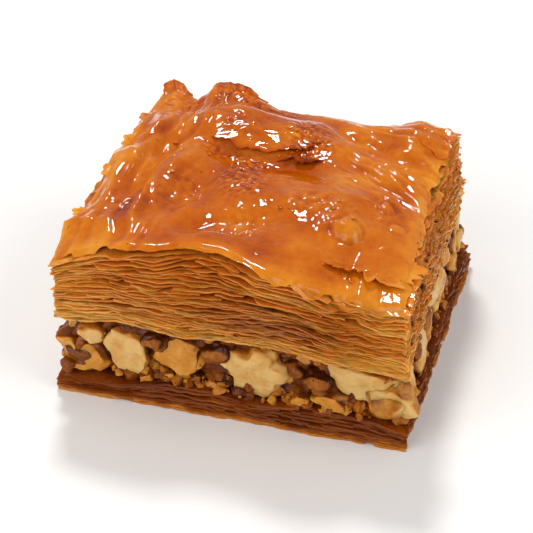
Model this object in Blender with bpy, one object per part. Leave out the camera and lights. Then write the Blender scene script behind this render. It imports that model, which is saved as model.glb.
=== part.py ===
"""A square piece of walnut baklava, cut on all four sides.

Three layers lie on each other: a thin lower stack of syrupy filo sheets, a layer of chopped
walnuts, and a thick upper stack of filo whose top sheets have baked into a wavy, flaky crust.
The front cut faces -Y, Z is up, and the origin is at the middle of the flat underside.
"""
import math
import random
from collections import namedtuple

import bmesh
import bpy
from mathutils import Matrix, Vector, noise

# Driving dimensions, in metres
MM = 0.001
WIDTH = 55 * MM
DEPTH = 55 * MM
CRUST_LEVEL = 28 * MM
NUT_FLOOR = 4.9 * MM
NUT_CEILING = 15.4 * MM
GAP = 0.3 * MM

# Plan corners in mm, anticlockwise from the front left: the sides lean out towards the base
BASE_CORNERS = ((-30.1, -26.8), (29.0, -26.8), (30.1, 27.7), (-29.1, 27.7))
CRUST_CORNERS = ((-28.6, -27.3), (27.9, -27.3), (25.9, 27.7), (-27.7, 27.7))

# Cells along each side of a stack, sheets that show in each stack, and rings of points a sheet
GRID = 22
UPPER_SHEETS = 12
LOWER_SHEETS = 4
RINGS_A_SHEET = 2

# How far a sheet's lip stands out, how far the notch under it goes in, and how ragged both are
LIP = 0.35 * MM
NOTCH = 0.55 * MM
RAGGED = 0.55 * MM
RAGGED_LENGTH = 4 * MM
RING_WAVE = 0.12 * MM
WAVE_LENGTH = 6 * MM
EDGE_FADE = 0.16

# Rings under the crust that follow its overhang, and rings that follow where it has broken off
OVERHANG_RINGS = 3
BROKEN_RINGS = 8

# Height of the crust's four rims: place along the rim and height, in mm
FRONT_RIM = (
    (-28, 27.0), (-24.5, 28.8), (-19.8, 30.8), (-15, 31.6), (-9.8, 31.7), (-5, 32.2), (0, 32.0),
    (4.8, 31.4), (11, 30.4), (15.3, 28.5), (18.2, 27.9), (20, 28.8), (23.4, 27.8), (28, 28.6),
)
BACK_RIM = (
    (-27.5, 29.6), (-24, 28.7), (-21.3, 28.2), (-18.3, 30.8), (-13.2, 30.5), (-9.8, 29.5),
    (-6, 28.2), (7, 28.2), (12, 27.6), (17, 28.4), (21, 29.6), (26.5, 28.2),
)
LEFT_RIM = (
    (-27.5, 27.0), (-23, 28.0), (-20, 29.9), (-14, 29.4), (-7, 29.8), (0, 31.0), (5, 30.2),
    (10, 31.2), (18, 29.6), (27.5, 29.6),
)
RIGHT_RIM = (
    (-27.5, 28.6), (-20, 29.4), (-10, 29.0), (0, 28.5), (10, 28.2), (19, 29.2), (24, 29.8),
    (27.5, 28.2),
)

# How far the crust's rim reaches past the cut, negative where it has broken off, in mm
FRONT_REACH = (
    (-28, 0.2), (-24, -0.2), (-16, -0.4), (-11.5, -1.0), (-8.5, -2.8), (-2, -2.6), (2, -1.2),
    (6, 0.8), (11, 1.4), (15, 0.6), (17.6, -0.6), (21, 0.9), (24.5, 0.4), (28, 0.0),
)
BACK_REACH = (
    (-27.5, 0.9), (-22, -1.6), (-18.5, 1.3), (-12, 0.6), (0, -0.4), (12, -0.5), (22, 0.5), (26.5, 0.0),
)
LEFT_REACH = (
    (-27.5, 0.2), (-20, 1.3), (-16, -0.3), (-4, 0.3), (2, 0.9), (8, -0.3), (14, 0.6), (27.5, 0.6),
)
RIGHT_REACH = ((-27.5, 0.0), (-18, -0.3), (-8, -1.0), (4, -1.4), (12, -0.6), (20, 0.3), (27.5, -0.2))

# Lower edge of the upper stack and upper edge of the lower stack on the front cut, in mm
STACK_EDGE = (
    (-28, 15.2), (-23, 15.4), (-18, 16.4), (-13, 15.9), (-6.4, 15.4), (1, 16.4), (7.7, 16.3),
    (15.6, 15.1), (24, 14.9), (28, 14.4),
)
BASE_EDGE = (
    (-30, 3.7), (-23, 3.5), (-17, 3.9), (-9.5, 5.6), (-2.7, 5.3), (2.4, 4.4), (10, 5.3),
    (22.7, 5.3), (26.8, 4.1), (30, 4.0),
)

# Broad forms of the crust in mm: x, y, height, reach along, reach across, turn in degrees
CRUST_DOME = 1.5
CRUST_FORMS = (
    # Smooth bulge of the right front
    (8.5, -6.5, 2.3, 9.5, 7.0, 20),
    # Raised leaf behind the middle, with its ledge in front
    (-7.0, 15.5, 2.3, 12.0, 5.0, -4),
    (-5.0, 5.8, -1.3, 10.0, 2.4, -8),
    (-8.0, 22.6, -0.9, 8.0, 1.8, -3),
    # Rough patch before the middle
    (-4.0, -3.5, 1.1, 5.0, 6.0, 0),
    # Long folds of the left side
    (-24.0, 1.0, 1.9, 19.0, 1.9, 88),
    (-20.4, 2.0, -1.5, 16.0, 1.7, 84),
    (-16.2, -4.0, 1.3, 12.0, 2.2, 78),
    (-11.6, -8.5, -0.8, 8.0, 1.6, 74),
    # Valley towards the front
    (-2.5, -16.0, -1.5, 8.0, 2.6, 24),
    # Round blister of the right front
    (15.6, -13.1, 1.3, 2.7, 2.7, 0),
    # Creases towards the right
    (20.5, 3.0, -1.4, 8.0, 1.6, -33),
    (16.5, 14.5, -1.4, 11.0, 1.8, -32),
    # Bumps of the back corners
    (22.8, 22.0, 2.0, 4.5, 3.5, 40),
    (-15.5, 26.0, 1.4, 7.0, 2.2, -12),
    (-20.8, 20.5, -1.4, 3.5, 2.8, 0),
)
# How fast a rim's shape fades inwards, and how fast the broad forms grow from what they are at the rim
RIM_FADE = 4.5
FORM_GROWTH = 2.2
FORM_AT_RIM = 0.05
BUMP_SIZE = 5.5
BUMP_HEIGHT = 0.5

# Walnut pieces that show on the front cut, in mm: x, z, width and height
FRONT_NUTS = (
    (-28.2, 10.0, 4.5, 4.8), (-23.9, 12.4, 5.2, 4.6), (-23.8, 7.4, 8.3, 7.4), (-17.8, 10.1, 8.2, 10.4),
    (-14.2, 6.4, 4.2, 3.8), (-12.3, 13.0, 4.6, 4.6), (-8.9, 10.8, 8.4, 7.4), (-2.2, 12.9, 6.4, 4.6),
    (3.9, 9.9, 9.6, 10.0), (1.0, 10.4, 8.0, 4.6), (10.8, 12.0, 5.4, 4.4), (14.2, 10.4, 6.0, 5.0),
    (20.9, 12.0, 11.8, 6.0), (16.6, 7.2, 7.2, 4.2), (25.8, 8.6, 8.2, 8.6), (10.9, 7.0, 4.4, 3.6),
)
# Walnut pieces on each other side, in two uneven rows: how many, and their sizes in mm
SIDE_NUTS = 14
NUT_SMALLEST = 5.5
NUT_LARGEST = 11.0
NUT_ROW_LIFT = 2.3
NUT_DEPTH = 7.0 * MM
NUT_CLEARANCE = 0.45 * MM
NUT_STAND = 0.5 * MM
NUT_UNEVEN = 0.3
# Knife cuts that chop a piece: how many, and how far from its middle as a share of its radius
NUT_CUTS = 4
CUT_NEAREST = 0.62
CUT_FARTHEST = 0.9
CORE_INSET = 3.2 * MM
SQUEEZE = 0.08
NUT_SEED = 27

Nut = namedtuple("Nut", "side place height width tall draw")


def along(profile, place):
    """Height or reach, in metres, of a profile in mm at a place in metres."""
    x = place / MM
    if x <= profile[0][0]:
        return profile[0][1] * MM
    for (start, low), (end, high) in zip(profile, profile[1:]):
        if x <= end:
            return (low + (high - low) * (x - start) / (end - start)) * MM
    return profile[-1][1] * MM


def plan_point(u, v, height):
    """Plan position of the grid point (u, v) at a height, between the base's and the crust's outlines."""
    rise = min(height / CRUST_LEVEL, 1.05)
    outlines = zip(BASE_CORNERS, CRUST_CORNERS)
    corners = [Vector(base).lerp(Vector(crust), rise) * MM for base, crust in outlines]
    front = corners[0].lerp(corners[1], u)
    back = corners[3].lerp(corners[2], u)
    return front.lerp(back, v)


def from_edges(u, v, front, right, back, left, fade):
    """Sum of four edge values, each at its full size on its edge and gone at a distance of fade."""
    total = 0.0
    for value, distance in ((front, v), (right, 1 - u), (back, 1 - v), (left, u)):
        total += value * max(0.0, 1 - distance / fade)
    return total


def broad_form(x, y, form):
    """Height that one broad form adds to the crust at a place in mm."""
    centre_x, centre_y, height, reach_along, reach_across, turn = form
    offset = Matrix.Rotation(-math.radians(turn), 2) @ Vector((x - centre_x, y - centre_y))
    distance = (offset.x / reach_along) ** 2 + (offset.y / reach_across) ** 2
    return height / (1 + distance ** 2)


def crust_height(u, v):
    """Height of the crust at (u, v): its corners' level, the dome, the rims, the forms and small bumps."""
    x, y = (u - 0.5) * WIDTH, (v - 0.5) * DEPTH
    front, back = along(FRONT_RIM, x), along(BACK_RIM, x)
    left, right = along(LEFT_RIM, y), along(RIGHT_RIM, y)
    corner = [along(FRONT_RIM, -WIDTH / 2), along(FRONT_RIM, WIDTH / 2)]
    corner += [along(BACK_RIM, WIDTH / 2), along(BACK_RIM, -WIDTH / 2)]
    front_line = corner[0] + (corner[1] - corner[0]) * u
    back_line = corner[3] + (corner[2] - corner[3]) * u
    left_line = corner[0] + (corner[3] - corner[0]) * v
    right_line = corner[1] + (corner[2] - corner[1]) * v
    level = front_line + (back_line - front_line) * v
    rims = (front - front_line) * (1 - v) ** RIM_FADE + (back - back_line) * v ** RIM_FADE
    rims += (left - left_line) * (1 - u) ** RIM_FADE + (right - right_line) * u ** RIM_FADE
    inside = 16 * u * (1 - u) * v * (1 - v)
    forms = sum(broad_form(x / MM, y / MM, form) for form in CRUST_FORMS)
    bumps = BUMP_HEIGHT * noise.noise(Vector((x, y, 0)) / (BUMP_SIZE * MM))
    return level + rims + (CRUST_DOME + forms + bumps) * min(1.0, FORM_GROWTH * inside + FORM_AT_RIM) * MM


def stack_floor(u, v):
    """Height of the upper stack's underside at (u, v)."""
    front = along(STACK_EDGE, (u - 0.5) * WIDTH) - NUT_CEILING
    return NUT_CEILING + from_edges(u, v, front, 0.0, 0.0, 0.0, 1 / GRID)


def base_ceiling(u, v):
    """Height of the lower stack's top at (u, v)."""
    front = along(BASE_EDGE, (u - 0.5) * WIDTH) - NUT_FLOOR
    return NUT_FLOOR + from_edges(u, v, front, 0.0, 0.0, 0.0, 1 / GRID)


def grid_block(rings):
    """A square grid raised ring by ring into a closed block, whose points hold u, v and their ring."""
    block = bmesh.new()
    bmesh.ops.create_grid(block, x_segments=GRID, y_segments=GRID, size=0.5)
    bmesh.ops.translate(block, verts=block.verts, vec=(0.5, 0.5, 0))
    roof = block.faces[:]
    for ring in range(rings):
        raised = bmesh.ops.extrude_face_region(block, geom=roof)["geom"]
        if ring > 0:
            bmesh.ops.delete(block, geom=roof, context="FACES")
        roof = [item for item in raised if isinstance(item, bmesh.types.BMFace)]
        points = [item for item in raised if isinstance(item, bmesh.types.BMVert)]
        bmesh.ops.translate(block, verts=points, vec=(0, 0, 1))
    bmesh.ops.recalc_face_normals(block, faces=block.faces)
    return block


def sheet_edge(side, place, ring):
    """How far one ring of a cut side stands out: a ragged lip on odd rings, a notch between them."""
    ragged = noise.noise(Vector((place / RAGGED_LENGTH, ring * 1.7, side * 9.1)))
    stand = LIP if ring % RINGS_A_SHEET else -NOTCH
    return stand + RAGGED * ragged


def place_point(point, rings, floor, ceiling, reach):
    """Move one point of a grid block from (u, v, ring) to its place in the stack."""
    u, v, ring = point.co.x, point.co.y, round(point.co.z)
    share = ring / rings
    low, high = floor(u, v), ceiling(u, v)
    x, y = (u - 0.5) * WIDTH, (v - 0.5) * DEPTH
    places = enumerate((x, y, x, y))
    outward = [sheet_edge(side, place, ring) + reach(side, place, ring) for side, place in places]
    height = low + (high - low) * share
    if 0 < ring < rings:
        height += RING_WAVE * noise.noise(Vector((x, y, ring * MM)) / WAVE_LENGTH)
    spot = plan_point(u, v, height)
    front, right, back, left = outward
    spot.x += from_edges(u, v, 0.0, right, 0.0, -left, EDGE_FADE)
    spot.y += from_edges(u, v, -front, 0.0, back, 0.0, EDGE_FADE)
    point.co = Vector((spot.x, spot.y, height))


def crust_reach(side, place, ring):
    """Extra reach of the upper stack's top rings, where the crust overhangs or has broken off."""
    profile = (FRONT_REACH, RIGHT_REACH, BACK_REACH, LEFT_REACH)[side]
    below = UPPER_SHEETS * RINGS_A_SHEET - ring
    reach = along(profile, place)
    if below <= 1:
        return reach
    follow = OVERHANG_RINGS if reach > 0 else BROKEN_RINGS
    return reach * max(0.0, 1 - below / follow)


def no_reach(_side, _place, _ring):
    """The lower stack has no overhang."""
    return 0.0


def stack(sheets, floor, ceiling, reach):
    """A stack of filo sheets between two heights, with the sheets' edges in relief on all four cuts."""
    rings = sheets * RINGS_A_SHEET
    block = grid_block(rings)
    for point in block.verts:
        place_point(point, rings, floor, ceiling, reach)
    return block


def join_flat(block, height):
    """Join the faces that lie flat at a height into one."""
    off = {point for point in block.verts if abs(point.co.z - height) > 0.001 * MM}
    flat = [face for face in block.faces if not off.intersection(face.verts)]
    bmesh.ops.dissolve_faces(block, faces=flat, use_verts=True)


def finish_mesh(block, name, material, collection):
    """Turn a bmesh into an object of the collection with its material."""
    bmesh.ops.triangulate(block, faces=block.faces)
    mesh = bpy.data.meshes.new(name)
    block.to_mesh(mesh)
    block.free()
    mesh.materials.append(material)
    piece = bpy.data.objects.new(name, mesh)
    collection.objects.link(piece)
    return piece


def upper_filo(collection):
    """The thick upper stack with its crust."""
    block = stack(UPPER_SHEETS, stack_floor, crust_height, crust_reach)
    join_flat(block, NUT_CEILING)
    material = food_material("glazed_filo", (0.58, 0.22, 0.035), 0.25)
    return finish_mesh(block, "upper_filo", material, collection)


def base_filo(collection):
    """The thin lower stack, soaked in syrup, with one flat face under it."""
    block = stack(LOWER_SHEETS, lambda u, v: 0.0, base_ceiling, no_reach)
    join_flat(block, 0.0)
    join_flat(block, NUT_FLOOR)
    material = food_material("soaked_filo", (0.2, 0.06, 0.015), 0.3)
    return finish_mesh(block, "base_filo", material, collection)


def nut_core(collection, material):
    """The packed nut paste that the walnut pieces are set in, a little inside the cut sides."""
    core = grid_block(1)
    low, high = NUT_FLOOR + GAP, NUT_CEILING - GAP
    inset = CORE_INSET / WIDTH
    for point in core.verts:
        u = inset + point.co.x * (1 - 2 * inset)
        v = inset + point.co.y * (1 - 2 * inset)
        height = high if point.co.z > 0.5 else low
        spot = plan_point(u, v, height)
        point.co = Vector((spot.x, spot.y, height))
    join_flat(core, low)
    join_flat(core, high)
    return finish_mesh(core, "nut_filling", material, collection)


def keep_under(value, limit):
    """A value pressed softly against an upper limit."""
    return value if value < limit else limit + SQUEEZE * (value - limit)


def nut_point(offset, nut):
    """Place of one point of a walnut piece that is pressed between the stacks and cut on its side."""
    run = nut.place + offset.x * nut.width / 2
    rise = nut.height + offset.z * nut.tall / 2
    share = min(max(run / WIDTH + 0.5, 0.0), 1.0)
    cut = NUT_STAND * (0.4 + 1.2 * nut.draw)
    inward = -keep_under(NUT_STAND - NUT_DEPTH / 2 * (1 + offset.y), cut)
    depth = max(inward, 0.0) / DEPTH
    u, v = ((share, depth), (1 - depth, share), (share, 1 - depth), (depth, share))[nut.side]
    rise = keep_under(rise, stack_floor(u, v) - NUT_CLEARANCE)
    rise = -keep_under(-rise, -base_ceiling(u, v) - NUT_CLEARANCE)
    edge_u, edge_v = ((share, 0.0), (1.0, share), (share, 1.0), (0.0, share))[nut.side]
    edge = plan_point(edge_u, edge_v, rise)
    if nut.side == 0:
        return Vector((run, edge.y + inward, rise))
    if nut.side == 1:
        return Vector((edge.x - inward, run, rise))
    if nut.side == 2:
        return Vector((run, edge.y - inward, rise))
    return Vector((edge.x + inward, run, rise))


def chop(lump, draws):
    """Cut flat facets on a lump, as a knife leaves them on a chopped nut."""
    for _ in range(NUT_CUTS):
        away = Vector((draws.uniform(-1, 1), draws.uniform(-1, 1), draws.uniform(-1, 1))).normalized()
        near = away * draws.uniform(CUT_NEAREST, CUT_FARTHEST)
        lump_parts = lump.verts[:] + lump.edges[:] + lump.faces[:]
        bmesh.ops.bisect_plane(
            lump, geom=lump_parts, dist=0.02, plane_co=near, plane_no=away, clear_outer=True)
        bmesh.ops.holes_fill(lump, edges=[edge for edge in lump.edges if edge.is_boundary])


def nut_piece(nut, draws, name, collection, material):
    """One chopped walnut piece on a cut side, with few faces."""
    lump = bmesh.new()
    bmesh.ops.create_icosphere(lump, subdivisions=2, radius=1)
    for point in lump.verts:
        point.co *= 1 + NUT_UNEVEN * noise.noise(point.co * 1.6 + Vector((nut.draw, nut.draw, 0)) * 9)
    chop(lump, draws)
    bmesh.ops.triangulate(lump, faces=lump.faces)
    for point in lump.verts:
        point.co = nut_point(point.co.copy(), nut)
    bmesh.ops.recalc_face_normals(lump, faces=lump.faces)
    return finish_mesh(lump, name, material, collection)


def walnut_pieces(draws):
    """The measured pieces of the front, and seeded ones spread evenly over the other three sides."""
    nuts = [Nut(0, x * MM, z * MM, wide * MM, tall * MM, draws.random()) for x, z, wide, tall in FRONT_NUTS]
    middle = (NUT_FLOOR + NUT_CEILING) / 2
    for side in (1, 2, 3):
        for number in range(SIDE_NUTS):
            wide = draws.uniform(NUT_SMALLEST, NUT_LARGEST) * MM
            tall = wide * draws.uniform(0.65, 1.0)
            place = ((number + 0.5) / SIDE_NUTS - 0.5) * (WIDTH - 3 * MM) + draws.uniform(-0.8, 0.8) * MM
            lift = (1 if number % 2 else -1) * draws.uniform(0.5, 1.0) * NUT_ROW_LIFT * MM
            nuts.append(Nut(side, place, middle + lift, wide, tall, draws.random()))
    return nuts


def join_pieces(core, pieces):
    """Join the pieces to the core with one Boolean union, and remove them."""
    join = core.modifiers.new("join", "BOOLEAN")
    join.operation = "UNION"
    join.operand_type = "COLLECTION"
    join.collection = pieces
    join.solver = "EXACT"
    graph = bpy.context.evaluated_depsgraph_get()
    joined = bpy.data.meshes.new_from_object(core.evaluated_get(graph))
    core.modifiers.clear()
    plain = core.data
    core.data = joined
    bpy.data.meshes.remove(plain)
    for piece in list(pieces.objects):
        bpy.data.objects.remove(piece)
    bpy.data.collections.remove(pieces)


def keep_largest(piece):
    """Drop loose scraps, and points that the union left closer than a hundredth of a millimetre."""
    block = bmesh.new()
    block.from_mesh(piece.data)
    bmesh.ops.dissolve_degenerate(block, dist=0.01 * MM, edges=block.edges)
    islands = []
    left = set(block.verts)
    while left:
        island, front = set(), [next(iter(left))]
        while front:
            point = front.pop()
            if point in island:
                continue
            island.add(point)
            front.extend(edge.other_vert(point) for edge in point.link_edges)
        islands.append(island)
        left -= island
    largest = max(islands, key=len)
    scraps = [point for point in block.verts if point not in largest]
    bmesh.ops.delete(block, geom=scraps, context="VERTS")
    bmesh.ops.triangulate(block, faces=block.faces)
    block.to_mesh(piece.data)
    block.free()


def nut_filling(collection, scene):
    """The layer of chopped walnuts: a core with the pieces that show fused to it."""
    material = food_material("walnut", (0.62, 0.4, 0.16), 0.5)
    pieces = bpy.data.collections.new("walnut_pieces")
    scene.collection.children.link(pieces)
    core = nut_core(collection, material)
    draws = random.Random(NUT_SEED)
    for number, nut in enumerate(walnut_pieces(draws)):
        nut_piece(nut, draws, f"nut_{number}", pieces, material)
    join_pieces(core, pieces)
    keep_largest(core)


def food_material(name, color, roughness):
    """A Principled material with a plain colour."""
    material = bpy.data.materials.new(name)
    material.use_nodes = True
    shader = material.node_tree.nodes["Principled BSDF"]
    shader.inputs["Base Color"].default_value = (*color, 1.0)
    shader.inputs["Roughness"].default_value = roughness
    shader.inputs["Metallic"].default_value = 0.0
    return material


def main():
    for thing in list(bpy.data.objects):
        bpy.data.objects.remove(thing)
    scene = bpy.context.scene
    collection = bpy.data.collections.new("baklava_piece")
    scene.collection.children.link(collection)
    base_filo(collection)
    nut_filling(collection, scene)
    upper_filo(collection)


main()
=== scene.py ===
"""A square piece of walnut baklava, as it looks: glazed crust, filo sheets, walnuts and soaked base.

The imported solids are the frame. Over them go the glazed crust with its torn leaves, the edge of
every filo sheet, the chopped walnuts in their dark paste, the syrupy lower stack, and then the
camera, the floor and the light. Sizes are in millimetres until a point goes into a mesh.
"""
import logging
import math
import random
from dataclasses import dataclass, field, replace
from enum import Enum
from functools import lru_cache
from typing import Callable, Sequence

import bpy
from mathutils import Matrix, Vector, noise


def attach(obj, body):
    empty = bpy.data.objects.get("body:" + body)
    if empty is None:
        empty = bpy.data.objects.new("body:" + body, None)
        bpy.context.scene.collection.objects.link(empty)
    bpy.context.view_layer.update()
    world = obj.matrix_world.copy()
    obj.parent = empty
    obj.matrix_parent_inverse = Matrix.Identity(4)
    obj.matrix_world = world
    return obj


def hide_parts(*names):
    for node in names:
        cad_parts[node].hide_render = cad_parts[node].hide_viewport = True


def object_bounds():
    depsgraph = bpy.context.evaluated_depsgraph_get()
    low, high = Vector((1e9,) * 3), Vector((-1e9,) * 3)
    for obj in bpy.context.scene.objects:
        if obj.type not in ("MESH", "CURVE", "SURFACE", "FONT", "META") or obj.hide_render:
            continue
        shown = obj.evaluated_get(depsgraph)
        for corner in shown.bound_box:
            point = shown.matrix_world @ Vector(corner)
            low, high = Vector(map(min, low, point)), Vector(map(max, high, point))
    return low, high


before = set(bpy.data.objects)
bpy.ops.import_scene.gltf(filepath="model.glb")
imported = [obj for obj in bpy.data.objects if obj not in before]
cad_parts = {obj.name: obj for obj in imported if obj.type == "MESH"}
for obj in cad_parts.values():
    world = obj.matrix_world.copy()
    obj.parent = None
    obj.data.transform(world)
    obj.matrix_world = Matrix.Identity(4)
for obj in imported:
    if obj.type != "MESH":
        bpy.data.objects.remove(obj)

MM = 0.001
BODY = "root"
CAD_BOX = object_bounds()
PERIMETER = 220.0
log = logging.getLogger("baklava")

Profile = tuple[tuple[float, float], ...]
Level = Callable[[float, float], float]


def linear(hex_colour: str) -> tuple[float, float, float, float]:
    """Turn an sRGB hex colour into linear red, green, blue and alpha.

    Args:
        hex_colour: six hex digits after a hash sign.

    Returns:
        The linear colour with alpha 1.
    """
    parts = [int(hex_colour[place:place + 2], 16) / 255 for place in (1, 3, 5)]
    low_end, slope, offset, power = 0.04045, 12.92, 0.055, 2.4
    red, green, blue = (
        part / slope if part <= low_end else ((part + offset) / (1 + offset)) ** power for part in parts
    )
    return red, green, blue, 1.0


def smooth(low: float, high: float, value: float) -> float:
    """Rise smoothly from 0 at low to 1 at high."""
    share = min(max((value - low) / (high - low), 0.0), 1.0)
    return share * share * (3 - 2 * share)


def ridge(value: float) -> float:
    """Turn noise between -1 and 1 into sharp ridges: 1 on the ridge, 0 between ridges."""
    return max(0.0, 1 - 2.2 * abs(value))


def wave(x: float, y: float, z: float = 0.0) -> float:
    """Smooth noise between about -1 and 1."""
    return noise.noise(Vector((x, y, z)))


@lru_cache(maxsize=None)
def heading(degrees: float) -> tuple[float, float]:
    """Cosine and sine of an angle in degrees, kept once worked out."""
    angle = math.radians(degrees)
    return math.cos(angle), math.sin(angle)


def along(profile: Profile, place: float) -> float:
    """Read a profile of straight stretches.

    Args:
        profile: pairs of place and value, in order.
        place: where to read it.

    Returns:
        The value there, held constant past both ends.
    """
    if place <= profile[0][0]:
        return profile[0][1]
    for (start, low), (end, high) in zip(profile, profile[1:]):
        if place <= end:
            return low + (high - low) * (place - start) / (end - start)
    return profile[-1][1]


def add_node(tree: bpy.types.NodeTree, kind: str, settings: dict | None = None,
             links: dict | None = None) -> bpy.types.Node:
    """Add one node with its settings and links.

    Args:
        tree: the material's or the world's node tree.
        kind: Blender's type name of the node.
        settings: values by input name or number, or by the node's own attribute name.
        links: output sockets by input name or number.

    Returns:
        The new node.
    """
    node = tree.nodes.new(kind)
    for name, value in (settings or {}).items():
        if isinstance(name, int) or name in node.inputs:
            node.inputs[name].default_value = value
        else:
            setattr(node, name, value)
    for name, source in (links or {}).items():
        tree.links.new(source, node.inputs[name])
    return node


def start_piece(name: str) -> bpy.types.Object:
    """Take the primitive that was just added, which is the active object, and give it its name."""
    piece = bpy.context.object
    piece.name = name
    return piece


def clear_selection() -> None:
    """Deselect everything, so that an operator acts on the next primitive alone."""
    bpy.ops.object.select_all(action="DESELECT")


def pick(piece: bpy.types.Object) -> None:
    """Select one piece alone and make it active."""
    clear_selection()
    piece.select_set(True)
    bpy.context.view_layer.objects.active = piece


def move_points(piece: bpy.types.Object, place: Callable[[int, Vector], Vector]) -> None:
    """Move every point of a mesh.

    Args:
        piece: the mesh object.
        place: gives a point's new place from its number and its old place.
    """
    for number, point in enumerate(piece.data.vertices):
        point.co = place(number, point.co.copy())
    piece.data.update()


def apply_modifier(piece: bpy.types.Object, kind: str, settings: dict) -> None:
    """Add a modifier to a piece and apply it.

    Args:
        piece: the mesh object.
        kind: Blender's type name of the modifier.
        settings: the modifier's attributes.
    """
    modifier = piece.modifiers.new(kind.lower(), kind)
    for name, value in settings.items():
        setattr(modifier, name, value)
    pick(piece)
    bpy.ops.object.modifier_apply(modifier=modifier.name)


def join(pieces: Sequence[bpy.types.Object], name: str) -> bpy.types.Object:
    """Join several mesh objects into one and name it.

    Args:
        pieces: the objects, of which the first takes in the others.
        name: the joined piece's name.

    Returns:
        The joined piece.
    """
    pick(pieces[0])
    for piece in pieces[1:]:
        piece.select_set(True)
    bpy.ops.object.join()
    return start_piece(name)


def tone_points(piece: bpy.types.Object, tone: Callable[[int, Vector], float]) -> None:
    """Write the attribute "bake" that the finishes read: 0 is pale or golden, 1 is dark.

    Args:
        piece: the mesh object.
        tone: gives a point's value from its number and its place.
    """
    bake = piece.data.attributes.get("bake") or piece.data.attributes.new("bake", "FLOAT", "POINT")
    values = [tone(number, point.co) for number, point in enumerate(piece.data.vertices)]
    bake.data.foreach_set("value", values)


def keep_inside(piece: bpy.types.Object) -> int:
    """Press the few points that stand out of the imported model's box back onto it, and count them."""
    low, high = CAD_BOX
    pressed = 0
    for point in piece.data.vertices:
        held = Vector([min(max(part, least), most) for part, least, most in zip(point.co, low, high)])
        if held != point.co:
            pressed += 1
            point.co = held
    return pressed


def set_in_frame(piece: bpy.types.Object, slot: str, material: bpy.types.Material, crease: float) -> None:
    """Shade and dress a finished piece and let it ride on the body.

    Args:
        piece: the mesh object, with its place in its mesh.
        slot: the record's material slot, which is not used.
        material: its finish.
        crease: the angle in degrees from which an edge stays sharp.
    """
    pick(piece)
    bpy.ops.object.shade_smooth_by_angle(angle=math.radians(crease))
    pressed = keep_inside(piece)
    piece.data.materials.clear()
    piece.data.materials.append(material)
    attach(piece, BODY)
    log.info("%s: %d faces, %d points pressed in", piece.name, len(piece.data.polygons), pressed)


def ring_loft(name: str, around: int, rings: int, place: Callable[[int, int], Vector],
              closed: bool) -> bpy.types.Object:
    """Model a skin from a circle that is extruded again and again, ring after ring.

    Args:
        name: the piece's name.
        around: points in each ring.
        rings: how many rings.
        place: gives a point's place in metres from its ring and its number in the ring.
        closed: whether the first and last rings are capped, which makes one closed body.

    Returns:
        The new piece.
    """
    clear_selection()
    bpy.ops.mesh.primitive_circle_add(vertices=around, radius=1, fill_type="NOTHING")
    piece = start_piece(name)
    bpy.ops.object.mode_set(mode="EDIT")
    bpy.ops.mesh.select_all(action="SELECT")
    for _ in range(rings - 1):
        bpy.ops.mesh.extrude_edges_move()
    if closed:
        bpy.ops.mesh.edge_face_add()
    bpy.ops.mesh.select_all(action="DESELECT")
    bpy.ops.object.mode_set(mode="OBJECT")
    move_points(piece, lambda index, _co: place(index // around, index % around))
    if closed:
        for point in piece.data.vertices[:around]:
            point.select = True
        bpy.ops.object.mode_set(mode="EDIT")
        bpy.ops.mesh.edge_face_add()
        bpy.ops.mesh.select_all(action="SELECT")
        bpy.ops.mesh.normals_make_consistent()
        bpy.ops.object.mode_set(mode="OBJECT")
    return piece


def scatter_lumps(name: str, fineness: int, doublings: int, draws: random.Random,
                  draw_lump: Callable[[int], Callable[[Vector], Vector]]) -> bpy.types.Object:
    """Model one ball, duplicate it again and again, and form and tone each copy apart.

    Args:
        name: the piece's name.
        fineness: the ball's subdivisions.
        doublings: how often all balls are duplicated.
        draws: where the tones come from, once all lumps are drawn.
        draw_lump: draws one lump from its number, and gives where its points go.

    Returns:
        The new piece.
    """
    clear_selection()
    bpy.ops.mesh.primitive_ico_sphere_add(subdivisions=fineness, radius=1)
    piece = start_piece(name)
    points = len(piece.data.vertices)
    bpy.ops.object.mode_set(mode="EDIT")
    for _ in range(doublings):
        bpy.ops.mesh.select_all(action="SELECT")
        bpy.ops.mesh.duplicate()
    bpy.ops.object.mode_set(mode="OBJECT")
    lumps = [draw_lump(number) for number in range(2 ** doublings)]
    shades = [draws.random() for _ in lumps]
    move_points(piece, lambda index, co: lumps[index // points](co))
    tone_points(piece, lambda index, _co: shades[index // points])
    return piece


@dataclass(frozen=True)
class Ripple:
    """One layer of smooth noise: its height and its lengths in two directions, in mm.

    Its shift tells it from other layers, and its mean is that of its ridges.
    """

    height: float
    length: float
    across: float
    shift: float = 0.0
    mean: float = 0.3

    def at(self, x: float, y: float, seed: float = 0.0) -> float:
        """Height at a place, with a seed that tells one stack from another."""
        return self.height * wave(x / self.length, y / self.across, seed + self.shift)

    def crest(self, x: float, y: float, seed: float = 0.0) -> float:
        """Height at a place where the noise stands as sharp ridges, less the ridges' mean."""
        return self.height * (ridge(wave(x / self.length, y / self.across, seed + self.shift)) - self.mean)


class Side(Enum):
    """The four cut sides, anticlockwise from the front."""

    FRONT = 0
    RIGHT = 1
    BACK = 2
    LEFT = 3

    def out(self) -> Vector:
        """The direction out of this side."""
        return Vector(((0, -1, 0), (1, 0, 0), (0, 1, 0), (-1, 0, 0))[self.value])

    def inset(self, share: float, inside: float) -> tuple[float, float]:
        """The u and v of a point at a share of the side's run and some way in, all 0 to 1."""
        return ((share, inside), (1 - inside, share), (share, 1 - inside), (inside, share))[self.value]


class WalnutKind(Enum):
    """What a chopped walnut piece shows on the cut side."""

    PALE = "walnut_pale"
    GOLDEN = "walnut_golden"
    SKINNED = "walnut_skinned"


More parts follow.
